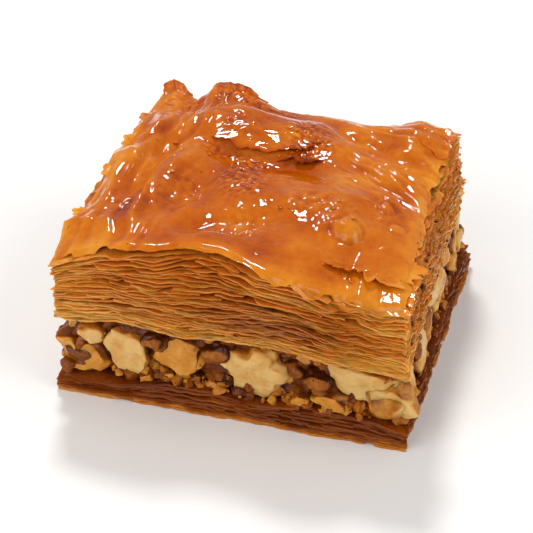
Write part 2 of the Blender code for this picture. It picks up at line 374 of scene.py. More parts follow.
@dataclass(frozen=True)
class BroadForm:
    """One broad rise or hollow of the crust, in mm and degrees."""

    x: float
    y: float
    height: float
    reach_along: float
    reach_across: float
    turn: float = 0.0

    def distance(self, x: float, y: float) -> float:
        """Squared distance from the middle, where 1 is the form's own reach."""
        cosine, sine = heading(self.turn)
        offset_x, offset_y = x - self.x, y - self.y
        run = (offset_x * cosine + offset_y * sine) / self.reach_along
        across = (offset_y * cosine - offset_x * sine) / self.reach_across
        return run * run + across * across

    def at(self, x: float, y: float) -> float:
        """Height that the form adds at a place, all in mm."""
        return self.height / (1 + self.distance(x, y) ** 2)

    def inside(self, x: float, y: float) -> float:
        """1 in the middle of the form, fading to 0 a little past its reach."""
        distance = self.distance(x, y)
        return 0.0 if distance > 2 else 1 - smooth(0.35, 1.4, math.sqrt(distance))


@dataclass(frozen=True)
class BaklavaForm:
    """The forms that all layers share, in mm: outlines, levels, rims and the relief of the crust."""

    width: float = 55.0
    depth: float = 55.0
    crust_level: float = 28.0
    nut_floor: float = 4.9
    nut_ceiling: float = 15.4
    base_corners: tuple = ((-30.1, -26.8), (29.0, -26.8), (30.1, 27.7), (-29.1, 27.7))
    crust_corners: tuple = ((-28.6, -27.3), (27.9, -27.3), (25.9, 27.7), (-27.7, 27.7))
    front_rim: Profile = (
        (-28, 27.0), (-24.5, 28.8), (-19.8, 30.8), (-15, 31.6), (-9.8, 31.7), (-5, 32.2), (0, 32.0),
        (4.8, 31.4), (11, 30.4), (15.3, 28.5), (18.2, 27.9), (20, 28.8), (23.4, 27.8), (28, 28.6),
    )
    back_rim: Profile = (
        (-27.5, 29.6), (-24, 28.7), (-21.3, 28.2), (-18.3, 30.8), (-13.2, 30.5), (-9.8, 29.5),
        (-6, 28.2), (7, 28.2), (12, 27.6), (17, 28.4), (21, 29.6), (26.5, 28.2),
    )
    left_rim: Profile = (
        (-27.5, 27.0), (-23, 28.0), (-20, 29.9), (-14, 29.4), (-7, 29.8), (0, 31.0), (5, 30.2),
        (10, 31.2), (18, 29.6), (27.5, 29.6),
    )
    right_rim: Profile = (
        (-27.5, 28.6), (-20, 29.4), (-10, 29.0), (0, 28.5), (10, 28.2), (19, 29.2), (24, 29.8),
        (27.5, 28.2),
    )
    corner_levels: tuple = (27.3, 28.5, 29.6, 28.2)
    front_reach: Profile = (
        (-28, 0.2), (-24, -0.2), (-16, -0.4), (-11.5, -1.0), (-8.5, -2.8), (-2, -2.6), (2, -1.2),
        (6, 0.8), (11, 1.4), (15, 0.6), (17.6, -0.6), (21, 0.9), (24.5, 0.4), (28, 0.0),
    )
    right_reach: Profile = (
        (-27.5, 0.0), (-18, -0.3), (-8, -1.0), (4, -1.4), (12, -0.6), (20, 0.3), (27.5, -0.2),
    )
    back_reach: Profile = (
        (-27.5, 0.9), (-22, -1.6), (-18.5, 1.3), (-12, 0.6), (0, -0.4), (12, -0.5), (22, 0.5),
        (26.5, 0.0),
    )
    left_reach: Profile = (
        (-27.5, 0.2), (-20, 1.3), (-16, -0.3), (-4, 0.3), (2, 0.9), (8, -0.3), (14, 0.6), (27.5, 0.6),
    )
    stack_edge: Profile = (
        (-28, 15.2), (-23, 15.4), (-18, 16.4), (-13, 15.9), (-6.4, 15.4), (1, 16.4), (7.7, 16.3),
        (15.6, 15.1), (24, 14.9), (28, 14.4),
    )
    base_edge: Profile = (
        (-30, 3.7), (-23, 3.5), (-17, 3.9), (-9.5, 5.6), (-2.7, 5.3), (2.4, 4.4), (10, 5.3),
        (22.7, 5.3), (26.8, 4.1), (30, 4.0),
    )
    dome: float = 1.5
    crust_forms: tuple[BroadForm, ...] = (
        # Smooth bulge of the right front
        BroadForm(8.5, -6.5, 2.3, 9.5, 7.0, 20),
        # Raised leaf behind the middle, with its ledge in front and a hollow behind
        BroadForm(-7.0, 15.5, 2.3, 12.0, 5.0, -4),
        BroadForm(-5.0, 5.8, -1.3, 10.0, 2.4, -8),
        BroadForm(-8.0, 22.6, -0.9, 8.0, 1.8, -3),
        # Rough patch before the middle
        BroadForm(-4.0, -3.5, 1.1, 5.0, 6.0, 0),
        # Long folds of the left side
        BroadForm(-24.0, 1.0, 1.9, 19.0, 1.9, 88),
        BroadForm(-20.4, 2.0, -1.5, 16.0, 1.7, 84),
        BroadForm(-16.2, -4.0, 1.3, 12.0, 2.2, 78),
        BroadForm(-11.6, -8.5, -0.8, 8.0, 1.6, 74),
        # Valley towards the front
        BroadForm(-2.5, -16.0, -1.5, 8.0, 2.6, 24),
        # Round blister of the right front
        BroadForm(15.6, -13.1, 1.3, 2.7, 2.7, 0),
        # Creases towards the right
        BroadForm(20.5, 3.0, -1.4, 8.0, 1.6, -33),
        BroadForm(16.5, 14.5, -1.4, 11.0, 1.8, -32),
        # Bumps of the back corners
        BroadForm(22.8, 22.0, 2.0, 4.5, 3.5, 40),
        BroadForm(-15.5, 26.0, 1.4, 7.0, 2.2, -12),
        BroadForm(-20.8, 20.5, -1.4, 3.5, 2.8, 0),
    )
    rim_fade: float = 4.5
    form_growth: float = 2.2
    form_at_rim: float = 0.05
    edge_fade: float = 0.16
    front_edge_cells: int = 22
    bump_size: float = 5.5
    bump_height: float = 0.5

    def plan(self, u: float, v: float, height: float) -> Vector:
        """Plan position of the point (u, v) at a height."""
        rise = min(height / self.crust_level, 1.05)
        outlines = zip(self.base_corners, self.crust_corners)
        corners = [Vector(base).lerp(Vector(crust), rise) for base, crust in outlines]
        front = corners[0].lerp(corners[1], u)
        back = corners[3].lerp(corners[2], u)
        return front.lerp(back, v)

    def crust(self, u: float, v: float) -> float:
        """Height of the crust at (u, v), without its fine relief."""
        u, v = min(max(u, 0.0), 1.0), min(max(v, 0.0), 1.0)
        x, y = (u - 0.5) * self.width, (v - 0.5) * self.depth
        front, back = along(self.front_rim, x), along(self.back_rim, x)
        left, right = along(self.left_rim, y), along(self.right_rim, y)
        near_left, near_right, far_left, far_right = self.corner_levels
        front_line = near_left + (near_right - near_left) * u
        back_line = far_left + (far_right - far_left) * u
        left_line = near_left + (far_left - near_left) * v
        right_line = near_right + (far_right - near_right) * v
        level = front_line + (back_line - front_line) * v
        rims = (front - front_line) * (1 - v) ** self.rim_fade + (back - back_line) * v ** self.rim_fade
        rims += (left - left_line) * (1 - u) ** self.rim_fade
        rims += (right - right_line) * u ** self.rim_fade
        inside = 16 * u * (1 - u) * v * (1 - v)
        forms = sum(form.at(x, y) for form in self.crust_forms)
        bumps = self.bump_height * wave(x / self.bump_size, y / self.bump_size)
        growth = min(1.0, self.form_growth * inside + self.form_at_rim)
        return level + rims + (self.dome + forms + bumps) * growth

    def reach(self, side: Side, place: float) -> float:
        """How far the crust's rim stands past the cut at a place along a side."""
        profile = (self.front_reach, self.right_reach, self.back_reach, self.left_reach)[side.value]
        return along(profile, place)

    def front_edge(self, profile: Profile, level: float, u: float, v: float) -> float:
        """Height of a layer's edge at (u, v): its profile on the front cut, and level elsewhere."""
        edge = along(profile, (u - 0.5) * self.width) - level
        return level + edge * max(0.0, 1 - max(v, 0.0) * self.front_edge_cells)

    def stack_floor(self, u: float, v: float) -> float:
        """Height of the upper stack's lower edge."""
        return self.front_edge(self.stack_edge, self.nut_ceiling, u, v)

    def base_ceiling(self, u: float, v: float) -> float:
        """Height of the lower stack's upper edge."""
        return self.front_edge(self.base_edge, self.nut_floor, u, v)

    def rim_point(self, turn: float) -> tuple[Side, float, float, float]:
        """Where a share of the way round the rim lies.

        Args:
            turn: 0 to 1, anticlockwise from the front left corner.

        Returns:
            The side, u, v, and the place along the side.
        """
        number, share = divmod(min(max(turn, 0.0), 0.999999) * 4, 1)
        side = Side(int(number))
        u, v = ((share, 0.0), (1.0, share), (1 - share, 1.0), (0.0, 1 - share))[side.value]
        place = ((u if side in (Side.FRONT, Side.BACK) else v) - 0.5) * self.width
        return side, u, v, place

    def inward(self, u: float, v: float, distance: float) -> tuple[float, float]:
        """Move a point of the rim inwards by a distance, or outwards by a negative one."""
        scale = 1 - 2 * distance / self.width
        return 0.5 + (u - 0.5) * scale, 0.5 + (v - 0.5) * scale


FORM = BaklavaForm()


@dataclass(frozen=True)
class FoodFinish:
    """One food surface: a ramp of baked tones, specks, fine bumps, a wet coat and some light inside.

    The ramp is read at the piece's "bake" attribute plus noise, so that forms and colours agree.
    """

    name: str
    tones: tuple[tuple[float, str], ...]
    mottle_mm: float = 5.0
    mottle: float = 0.3
    fine_mm: float = 0.9
    fine: float = 0.2
    speck_mm: float = 0.7
    speck_share: float = 0.2
    speck_hex: str = "#421A08"
    speck_rarity: float = 0.72
    speck_edge: float = 0.08
    roughness: float = 0.45
    specular: float = 0.0
    coat: float = 0.6
    coat_roughness: float = 0.06
    coat_ior: float = 1.36
    bump_mm: tuple[tuple[float, float], ...] = ((0.7, 0.10), (0.3, 0.04))
    coat_bump_mm: tuple[float, float] = (0.8, 0.06)
    coat_detail: float = 0.6
    inner_light: float = 0.0
    inner_reach_mm: tuple[float, float, float] = (2.0, 0.9, 0.3)
    stretch: tuple[float, float, float] = (1.0, 1.0, 1.0)

    def make(self) -> bpy.types.Material:
        """Build the material, once."""
        if self.name in bpy.data.materials:
            return bpy.data.materials[self.name]
        material = bpy.data.materials.new(self.name)
        material.use_nodes = True
        tree = material.node_tree
        shader = tree.nodes["Principled BSDF"]
        place = add_node(tree, "ShaderNodeTexCoord").outputs["Object"]
        place = add_node(tree, "ShaderNodeMapping", {"Scale": self.stretch}, {"Vector": place}).outputs[0]
        total = add_node(tree, "ShaderNodeAttribute", {"attribute_name": "bake"}).outputs["Fac"]
        for size, amount in ((self.mottle_mm, self.mottle), (self.fine_mm, self.fine)):
            cloud = self.cloud(tree, place, size)
            swing = add_node(tree, "ShaderNodeMath", {"operation": "MULTIPLY_ADD", 1: 2 * amount, 2: -amount},
                             {0: cloud}).outputs[0]
            total = add_node(tree, "ShaderNodeMath", {"operation": "ADD"}, {0: total, 1: swing}).outputs[0]
        ramp = add_node(tree, "ShaderNodeValToRGB", None, {"Fac": total})
        self.fill_ramp(ramp.color_ramp)
        grain = self.cloud(tree, place, self.speck_mm)
        edge = self.speck_rarity - 0.35 * self.speck_share
        speck = add_node(tree, "ShaderNodeMapRange", {"From Min": edge, "From Max": edge + self.speck_edge},
                         {"Value": grain}).outputs[0]
        colour = add_node(tree, "ShaderNodeMix", {"data_type": "RGBA", 7: linear(self.speck_hex)},
                          {0: speck, 6: ramp.outputs["Color"]}).outputs[2]
        tree.links.new(colour, shader.inputs["Base Color"])
        self.set_gloss(shader)
        self.link_bumps(tree, shader, place)
        return material

    def cloud(self, tree: bpy.types.NodeTree, place: bpy.types.NodeSocket, size: float,
              detail: float = 3.0) -> bpy.types.NodeSocket:
        """Noise whose lumps are about a size in mm."""
        settings = {"Scale": 1 / (size * MM), "Detail": detail}
        return add_node(tree, "ShaderNodeTexNoise", settings, {"Vector": place}).outputs["Fac"]

    def fill_ramp(self, ramp: bpy.types.ColorRamp) -> None:
        """Set the ramp's stops from the tones."""
        while len(ramp.elements) < len(self.tones):
            ramp.elements.new(0.5)
        for stop, (position, hex_colour) in zip(ramp.elements, self.tones):
            stop.position = position
            stop.color = linear(hex_colour)

    def set_gloss(self, shader: bpy.types.Node) -> None:
        """Set roughness, coat and inner light, which are the same all over the surface."""
        values = {
            "Roughness": self.roughness, "Specular IOR Level": self.specular,
            "Coat Weight": self.coat, "Coat Roughness": self.coat_roughness, "Coat IOR": self.coat_ior,
            "Subsurface Weight": self.inner_light, "Subsurface Radius": self.inner_reach_mm,
            "Subsurface Scale": MM,
        }
        for socket, value in values.items():
            shader.inputs[socket].default_value = value

    def link_bumps(self, tree: bpy.types.NodeTree, shader: bpy.types.Node,
                   place: bpy.types.NodeSocket) -> None:
        """Chain the fine bumps of the surface, and give the coat its own softer ones."""
        normal = None
        for size, height in self.bump_mm:
            bump = add_node(tree, "ShaderNodeBump", {"Distance": height * MM},
                            {"Height": self.cloud(tree, place, size)})
            if normal:
                tree.links.new(normal, bump.inputs["Normal"])
            normal = bump.outputs["Normal"]
        if normal:
            tree.links.new(normal, shader.inputs["Normal"])
        size, height = self.coat_bump_mm
        if height > 0:
            bump = add_node(tree, "ShaderNodeBump", {"Distance": height * MM},
                            {"Height": self.cloud(tree, place, size, self.coat_detail)})
            tree.links.new(bump.outputs["Normal"], shader.inputs["Coat Normal"])


# Brushed butter and syrup on baked filo: clear amber, sharp wet highlights, browner where it blistered
GLAZED_CRUST = FoodFinish(
    "glazed_filo_crust",
    ((0.0, "#EDA23C"), (0.25, "#DC8018"), (0.5, "#C86208"), (0.75, "#A84406"), (1.0, "#702604")),
    mottle=0.18, fine_mm=1.0, fine=0.12, speck_mm=0.9, speck_share=0.1, speck_hex="#A04C0C",
    roughness=0.5, coat=1.0, coat_roughness=0.04,
    bump_mm=((0.9, 0.12), (0.35, 0.04)), coat_bump_mm=(0.8, 0.025), inner_light=0.2,
)

# The cut edges of crisp baked filo: golden and tan, matt between small glints, warm light inside
CRISP_FILO = FoodFinish(
    "crisp_filo_edges",
    ((0.0, "#F0A044"), (0.25, "#DC802A"), (0.5, "#C4681D"), (0.75, "#A04C12"), (1.0, "#70330A")),
    mottle=0.2, fine_mm=1.1, fine=0.24, speck_share=0.1, speck_hex="#94501A",
    roughness=0.5, coat=0.8, coat_roughness=0.08,
    bump_mm=((0.5, 0.08),), inner_light=0.6, stretch=(1.0, 1.0, 4.0),
)

# The cut edges of filo that has drunk syrup: browner and wetter than the crisp sheets above
MOIST_FILO = replace(
    CRISP_FILO, name="moist_filo_edges",
    tones=((0.0, "#EE9A40"), (0.25, "#D87C26"), (0.5, "#BE641A"), (0.75, "#984811"), (1.0, "#682D09")),
    mottle=0.22, fine=0.26, speck_hex="#844414", coat=1.0, coat_roughness=0.06, coat_bump_mm=(0.8, 0.07),
)

# Shade between the sheets, where syrup has gathered
FILO_HEART = FoodFinish(
    "filo_heart", ((0.0, "#C47424"), (1.0, "#84440F")),
    mottle_mm=4.0, fine_mm=0.8, speck_mm=0.8, speck_hex="#5A2A0A",
    roughness=0.5, coat=0.3, coat_roughness=0.1, bump_mm=((0.6, 0.1),), coat_bump_mm=(0.6, 0.0),
)

# Fresh-cut walnut flesh: matt cream with a golden rim where syrup and skin meet it
WALNUT_FLESH = FoodFinish(
    "walnut_flesh",
    ((0.0, "#DCB26E"), (0.3, "#CE974A"), (0.55, "#B67424"), (0.8, "#8C4E10"), (1.0, "#5E2C0A")),
    mottle_mm=2.6, mottle=0.32, fine_mm=0.8, fine=0.18, speck_share=0.0, speck_hex="#B87C3A",
    roughness=0.5, coat_roughness=0.08,
    bump_mm=((0.9, 0.14), (0.3, 0.04)), coat_bump_mm=(0.8, 0.05),
    inner_light=0.5, inner_reach_mm=(1.8, 1.0, 0.4),
)

# Walnut soaked golden with syrup: clearer and warmer than fresh-cut flesh
WALNUT_GOLDEN = FoodFinish(
    "walnut_golden",
    ((0.0, "#E0A850"), (0.3, "#CC862A"), (0.6, "#AE6616"), (0.85, "#8E4C10"), (1.0, "#6E360C")),
    mottle_mm=2.4, mottle=0.26, fine_mm=0.7, fine=0.16, speck_share=0.05, speck_hex="#8A4C14",
    coat=0.8, bump_mm=((0.9, 0.14), (0.3, 0.04)), inner_light=0.5, inner_reach_mm=(2.2, 1.0, 0.25),
)

# Papery walnut skin, wet with syrup: brown with wrinkled glints
WALNUT_SKIN = FoodFinish(
    "walnut_skin",
    ((0.0, "#C8802C"), (0.35, "#A45E18"), (0.7, "#74380A"), (1.0, "#421B05")),
    mottle_mm=1.8, mottle=0.34, fine_mm=0.6, fine=0.24, speck_mm=0.5, coat_roughness=0.07,
    bump_mm=((0.7, 0.2), (0.25, 0.05)), coat_bump_mm=(0.7, 0.1), inner_light=0.15,
)

# Crumbs of chopped walnut in syrup: from golden flesh to dark skin, all wet
NUT_CRUMB = FoodFinish(
    "nut_crumb",
    ((0.0, "#D69238"), (0.35, "#B46A1E"), (0.7, "#86420F"), (1.0, "#522308")),
    mottle_mm=1.5, fine_mm=0.5, speck_mm=0.5,
    bump_mm=((0.6, 0.12),), coat_bump_mm=(0.7, 0.06), inner_light=0.15,
)

# Ground nut, cinnamon and syrup packed together: near black-brown and wet in the gaps
NUT_PASTE = FoodFinish(
    "nut_paste", ((0.0, "#9C5420"), (0.5, "#6C3310"), (1.0, "#3C1605")),
    mottle_mm=2.0, mottle=0.35, fine_mm=0.6, fine=0.25, speck_hex="#94581E",
    coat_roughness=0.08, bump_mm=((0.8, 0.15), (0.3, 0.05)), coat_bump_mm=(0.8, 0.10),
)

# Filo soaked through with syrup: dark brown, glassy wet lines, golden at its thin lower edge
SOAKED_FILO = FoodFinish(
    "syrup_soaked_filo",
    ((0.0, "#DC9438"), (0.25, "#BA6A1C"), (0.5, "#8E440B"), (0.8, "#6A2B06"), (1.0, "#441A04")),
    mottle=0.22, speck_hex="#8A4A18", coat=0.75, coat_roughness=0.05, coat_bump_mm=(0.9, 0.12),
    inner_light=0.2, stretch=(1.0, 1.0, 3.0),
)

# Clear amber syrup standing in beads on the crust
SYRUP = FoodFinish(
    "amber_syrup", ((0.0, "#E08A20"), (1.0, "#B8560A")),
    mottle_mm=2.0, fine_mm=0.8, fine=0.1, speck_mm=0.8, speck_share=0.0, speck_hex="#B8560A",
    roughness=0.2, coat=1.0, coat_roughness=0.02, bump_mm=(), coat_bump_mm=(1.0, 0.0), inner_light=0.4,
)


@dataclass
class Crust:
    """The top sheet of the crust: one wavy glazed sheet with folds, wrinkles and blisters."""

    cells: int = 205
    thickness: float = 0.22
    sunk: float = 0.3
    ragged: float = 0.4
    drift: tuple[Ripple, Ripple] = (Ripple(2.4, 9, 9, 31), Ripple(2.4, 9, 9, 47))
    fold: Ripple = Ripple(0.65, 2.3, 15.0, 3.1)
    swell: Ripple = Ripple(0.35, 6.5, 6.5, 8)
    crease: Ripple = Ripple(0.5, 9.0, 1.7, 5)
    crease_turn: float = -33.0
    crinkle: Ripple = Ripple(0.05, 2.2, 2.2, 4, 0.35)
    curl: Ripple = Ripple(0.4, 1.5, 1.5, 11)
    curl_crest: Ripple = Ripple(0.2, 1.5, 1.5, 13, 0.0)
    grit: tuple[Ripple, Ripple] = (Ripple(0.36, 0.85, 0.85), Ripple(0.18, 0.85 / 2.1, 0.85 / 2.1))
    rim_jags: tuple[Ripple, Ripple] = (Ripple(1.0, 2.4, 1.0, 0.5), Ripple(0.25, 0.9, 1.0, 2.5))
    rim_tears: Ripple = Ripple(1.0, 3.4, 1.0, 4.5)
    baked: float = 0.62
    paler_right: float = 0.08
    paler_rim: float = 0.24
    baked_broadly: tuple[Ripple, Ripple] = (Ripple(0.22, 9, 9, 20), Ripple(0.07, 2.5, 2.5, 22))
    baked_rough: float = 0.08
    baked_grain: Ripple = Ripple(0.75, 0.8, 0.8, 25)
    # Tone that follows the fine relief: darker in hollows, lighter on crests, within these limits.
    relief_tone: float = 0.45
    crest_tone_limit: float = -0.14
    hollow_tone_limit: float = 0.22
    blister_count: int = 60
    blister_seed: int = 5
    big_blisters: tuple = (
        (15.6, -13.1, 2.1, 0.75), (20.8, -4.2, 1.3, 0.4), (23.4, -8.4, 1.4, 0.4), (23.2, 20.0, 1.6, 0.5),
    )
    ripple_zones: tuple[BroadForm, ...] = (
        BroadForm(8.5, -8.0, 1.0, 5.0, 3.5, 30),
        BroadForm(14.5, -12.0, 0.8, 4.5, 5.0, 0),
        BroadForm(-13.5, -7.5, 1.0, 3.6, 6.0, 0),
        BroadForm(-20.0, -13.0, 0.9, 5.0, 3.6, 0),
        BroadForm(-11.5, 13.5, 0.9, 6.0, 4.0, 0),
        BroadForm(1.5, -1.5, 0.8, 4.0, 2.4, 40),
        BroadForm(0.0, -15.0, 0.6, 6.0, 2.5, 20),
        BroadForm(21.0, -23.5, 0.8, 7.0, 2.5, 0),
        BroadForm(23.0, 20.0, 0.9, 3.5, 4.0, 0),
    )
    rough_patches: tuple[BroadForm, ...] = (
        BroadForm(-4.0, -2.5, 0.8, 4.5, 6.5, 10),
        BroadForm(3.0, 13.5, 0.9, 5.0, 6.5, 0),
        BroadForm(-12.0, 26.0, 0.8, 11.0, 2.6, -8),
        BroadForm(-23.0, 23.0, 0.5, 4.0, 4.5, 0),
        BroadForm(-9.0, 6.0, 0.55, 9.0, 2.2, -8),
    )
    patch_wobble: Ripple = Ripple(0.6, 2.2, 2.2, 7)
    blisters: list[tuple[float, float, float, float]] = field(default_factory=list)
    tones: list[float] = field(default_factory=list)

    def scatter_blisters(self) -> None:
        """Draw the places, radii and rises of the small blisters."""
        draws = random.Random(self.blister_seed)
        for _ in range(self.blister_count):
            x, y = draws.uniform(-24, 24), draws.uniform(-24, 24)
            radius = draws.uniform(0.25, 0.6)
            self.blisters.append((x, y, radius, 0.4 * radius))
        self.blisters.extend(self.big_blisters)

    def blister_height(self, x: float, y: float) -> float:
        """Height that the blisters add: a low dome with a crease round it."""
        height = 0.0
        for centre_x, centre_y, radius, rise in self.blisters:
            if abs(x - centre_x) > 1.6 * radius or abs(y - centre_y) > 1.6 * radius:
                continue
            share = math.hypot(x - centre_x, y - centre_y) / radius
            if share < 1:
                height += rise * (1 - share * share)
            elif share < 1.5:
                height -= 0.4 * rise * math.sin((share - 1) * 2 * math.pi)
        return height

    def roughness_at(self, x: float, y: float) -> float:
        """How rough and browned the crust is at a place, 0 to 1."""
        total = sum(patch.height * patch.inside(x, y) for patch in self.rough_patches)
        return min(1.0, max(0.0, total * (1 + self.patch_wobble.at(x, y))))

    def creases(self, x: float, y: float) -> float:
        """Fine diagonal creases of the right back part."""
        gate = smooth(7, 14, x) * smooth(-9, 0, y)
        if gate == 0:
            return 0.0
        cosine, sine = heading(self.crease_turn)
        return gate * self.crease.crest(x * cosine + y * sine, y * cosine - x * sine)

    def detail(self, x: float, y: float) -> float:
        """Fine relief at a place: folds, swells, creases, ripples, rough patches and blisters."""
        spot_x, spot_y = x + self.drift[0].at(x, y), y + self.drift[1].at(x, y)
        height = self.swell.at(spot_x, spot_y) + self.creases(x, y) + self.crinkle.crest(spot_x, spot_y)
        left = smooth(9, 19, -x)
        if left > 0:
            height += left * self.fold.crest(spot_x, spot_y)
        rippled = sum(zone.height * zone.inside(x, y) for zone in self.ripple_zones)
        if rippled > 0:
            height += min(rippled, 1.0) * (self.curl.at(x, y) + self.curl_crest.crest(x, y))
        rough = self.roughness_at(x, y)
        if rough > 0:
            height += rough * sum(ripple.at(x, y) for ripple in self.grit)
        return height + self.blister_height(x, y)

    def surface(self, x: float, y: float, detail: float | None = None) -> float:
        """Height of the finished surface at a place of the undistorted square."""
        u, v = x / FORM.width + 0.5, y / FORM.depth + 0.5
        growth = min(1.0, 0.35 + FORM.form_growth * 16 * u * (1 - u) * v * (1 - v))
        fine = self.detail(x, y) if detail is None else detail
        return FORM.crust(u, v) + fine * max(growth, 0.3) - self.sunk

    def jagged(self, side: Side, place: float) -> float:
        """How a torn rim stands in and out at a place along a side, between about -2 and 1."""
        row = side.value * 5.3
        tears = smooth(0.3, 0.6, self.rim_tears.at(place, row))
        return sum(jag.at(place, row) for jag in self.rim_jags) - 1.4 * tears

    def point(self, u: float, v: float) -> Vector:
        """Place in metres of the crust's upper surface at (u, v), with its tone kept in the list."""
        x, y = (u - 0.5) * FORM.width, (v - 0.5) * FORM.depth
        detail = self.detail(x, y)
        self.tones.append(self.tone(x, y, detail))
        height = self.surface(x, y, detail)
        spot = FORM.plan(u, v, height)
        droop = 0.0
        for side, distance, place in (
            (Side.FRONT, v, x), (Side.RIGHT, 1 - u, y), (Side.BACK, 1 - v, x), (Side.LEFT, u, y),
        ):
            near = max(0.0, 1 - distance / FORM.edge_fade)
            if near == 0:
                continue
            jagged = self.jagged(side, place)
            out = (FORM.reach(side, place) + self.ragged * jagged * smooth(0.7, 1.0, near)) * near
            spot += side.out().xy * out
            lobe = 1.0 + 0.9 * smooth(3, 9, x) if side is Side.FRONT else 1.0
            droop = max(droop, smooth(0.82, 1.0, near) ** 2 * lobe * (0.55 + 0.45 * jagged))
        return Vector((spot.x, spot.y, height - droop)) * MM

    def tone(self, x: float, y: float, detail: float) -> float:
        """How dark the crust is at a place: browner in hollows and patches, lighter on crests, paler at the
        rim.
        """
        even = self.baked - self.paler_right * smooth(-4, 12, x)
        rough = self.roughness_at(x, y) * (self.baked_rough + self.baked_grain.at(x, y))
        broad = sum(ripple.at(x, y) for ripple in self.baked_broadly)
        rim = max(abs(x), abs(y)) * 2 / FORM.width
        pale = self.paler_rim * smooth(0.84, 1.0, rim) * (1.0 if y < 10 else 0.4)
        # Darker in hollows and lighter on crests, following the fine relief.
        relief_tone = min(max(-self.relief_tone * detail, self.crest_tone_limit), self.hollow_tone_limit)
        return even + rough + broad + relief_tone - pale

    def build(self) -> None:
        """Model the crust as a grid that is placed, given its thickness and shaded smooth."""
        self.scatter_blisters()
        clear_selection()
        bpy.ops.mesh.primitive_grid_add(x_subdivisions=self.cells, y_subdivisions=self.cells, size=1)
        piece = start_piece("crust")
        move_points(piece, lambda _number, co: self.point(co.x + 0.5, co.y + 0.5))
        apply_modifier(piece, "SOLIDIFY", {"thickness": self.thickness * MM, "offset": -1.0})
        tone_points(piece, lambda number, _co: self.tones[number % len(self.tones)])
        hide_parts("upper_filo")
        set_in_frame(piece, "glazed_filo", GLAZED_CRUST.make(), 60)


@dataclass(frozen=True)
class Leaf:
    """A torn leaf of filo on the crust, in mm and degrees.

    Its rim lifts towards lift_turn within lift_spread, and elsewhere it sinks into the crust.
    """

    x: float
    y: float
    half_length: float
    half_width: float
    turn: float
    lift: float
    lift_turn: float
    lift_spread: float = 80.0
    tear: float = 0.12
    dark: float = 0.0
    sink: float = 0.35


@dataclass
class CrustLeaves:
    """Torn and curled leaves of filo that lie on the crust and stand out at its rim."""

    crust: Crust
    spokes: int = 110
    rings: int = 14
    thickness: float = 0.18
    tears: tuple[Ripple, Ripple] = (Ripple(1.0, 2.6, 2.6), Ripple(0.3, 0.6, 0.6))
    notches: Ripple = Ripple(0.6, 1.5, 1.5, mean=0.5)
    waves: Ripple = Ripple(0.15, 1.3, 1.3)
    crisp_rim: float = 0.22
    leaves: tuple[Leaf, ...] = (
        # Raised leaf behind the middle, its lip towards the front right
        Leaf(-7.0, 15.2, 12.6, 7.0, -5, 0.6, -75, 85, 0.06, 0.0),
        # Dark curl at that leaf's right end
        Leaf(1.6, 10.0, 4.4, 3.8, -25, 0.9, -75, 75, 0.16, 0.16),
        # Torn sheet of the right front, with pointed teeth
        Leaf(20.2, -18.2, 7.4, 5.0, -8, 1.0, -98, 85, 0.2, -0.1),
        # Flake at the back left corner, curled up at the corner
        Leaf(-24.6, 25.2, 4.0, 2.8, -30, 1.1, 120, 70, 0.15, 0.05),
        # Long rough flake along the back rim
        Leaf(-13.6, 25.9, 7.2, 2.6, -8, 0.9, 100, 80, 0.16, 0.15),
        # Thin golden flakes of the left rim
        Leaf(-26.4, -16.8, 2.8, 2.6, 15, 0.3, 195, 70, 0.2, -0.25),
        Leaf(-26.2, -4.4, 2.8, 2.4, 20, 0.4, 190, 70, 0.2, -0.25),
        Leaf(-26.0, 5.6, 2.6, 2.6, -15, 0.5, 185, 70, 0.2, -0.2),
        Leaf(-26.0, 14.6, 2.5, 2.4, 20, 0.3, 180, 70, 0.2, -0.2),
        # Bump of the back right corner
        Leaf(23.4, 20.8, 3.0, 4.4, 15, 0.4, 20, 90, 0.1, 0.0),
    )
    tones: list[float] = field(default_factory=list)

    def leaf_point(self, leaf: Leaf, ring: int, spoke: int, number: int) -> Vector:
        """Place in metres of one point of a leaf."""
        share = (self.rings - ring) / self.rings
        angle = 2 * math.pi * spoke / self.spokes
        run, across = math.cos(angle), math.sin(angle)
        rim = leaf.half_length * run, leaf.half_width * across, number * 3.7
        torn = sum(tear.at(*rim) for tear in self.tears) + self.notches.crest(*rim)
        radius = share * (1 + leaf.tear * 2 * torn)
        local = Vector((leaf.half_length * radius * run, leaf.half_width * radius * across))
        turned = Matrix.Rotation(math.radians(leaf.turn), 2) @ local
        x, y = leaf.x + turned.x, leaf.y + turned.y
        off = math.degrees(math.atan2(turned.y, turned.x)) - leaf.lift_turn
        off = abs((off + 180) % 360 - 180)
        gate = 1 - smooth(0.4 * leaf.lift_spread, leaf.lift_spread, off)
        out = gate * smooth(0.25, 0.8, share)
        detail = self.crust.detail(x, y)
        crisp = self.crisp_rim * gate * smooth(0.9, 1.0, share) if leaf.dark >= 0 else 0.0
        self.tones.append(self.crust.tone(x, y, detail) + leaf.dark + crisp)
        height = self.crust.surface(x, y, detail) - leaf.sink * (1 - out)
        height += leaf.lift * gate * smooth(0.6, 1.0, share) ** 1.5
        height += self.waves.at(x, y, number) * share * out
        return Vector((x, y, height)) * MM

    def build_leaf(self, leaf: Leaf, number: int) -> bpy.types.Object:
        """Model one leaf, ring by ring from its torn rim to its middle."""
        self.tones.clear()
        piece = ring_loft(
            f"leaf_{number}", self.spokes, self.rings,
            lambda ring, spoke: self.leaf_point(leaf, ring, spoke, number), False)
        for point in piece.data.vertices[-self.spokes:]:
            point.select = True
        bpy.ops.object.mode_set(mode="EDIT")
        bpy.ops.mesh.edge_face_add()
        bpy.ops.object.mode_set(mode="OBJECT")
        apply_modifier(piece, "SOLIDIFY", {"thickness": self.thickness * MM, "offset": 0.0})
        tone_points(piece, lambda index, _co: self.tones[index % len(self.tones)])
        return piece

    def build(self) -> None:
        """Model all leaves and join them."""
        pieces = [self.build_leaf(leaf, number) for number, leaf in enumerate(self.leaves)]
        set_in_frame(join(pieces, "crust_leaves"), "glazed_filo", GLAZED_CRUST.make(), 60)


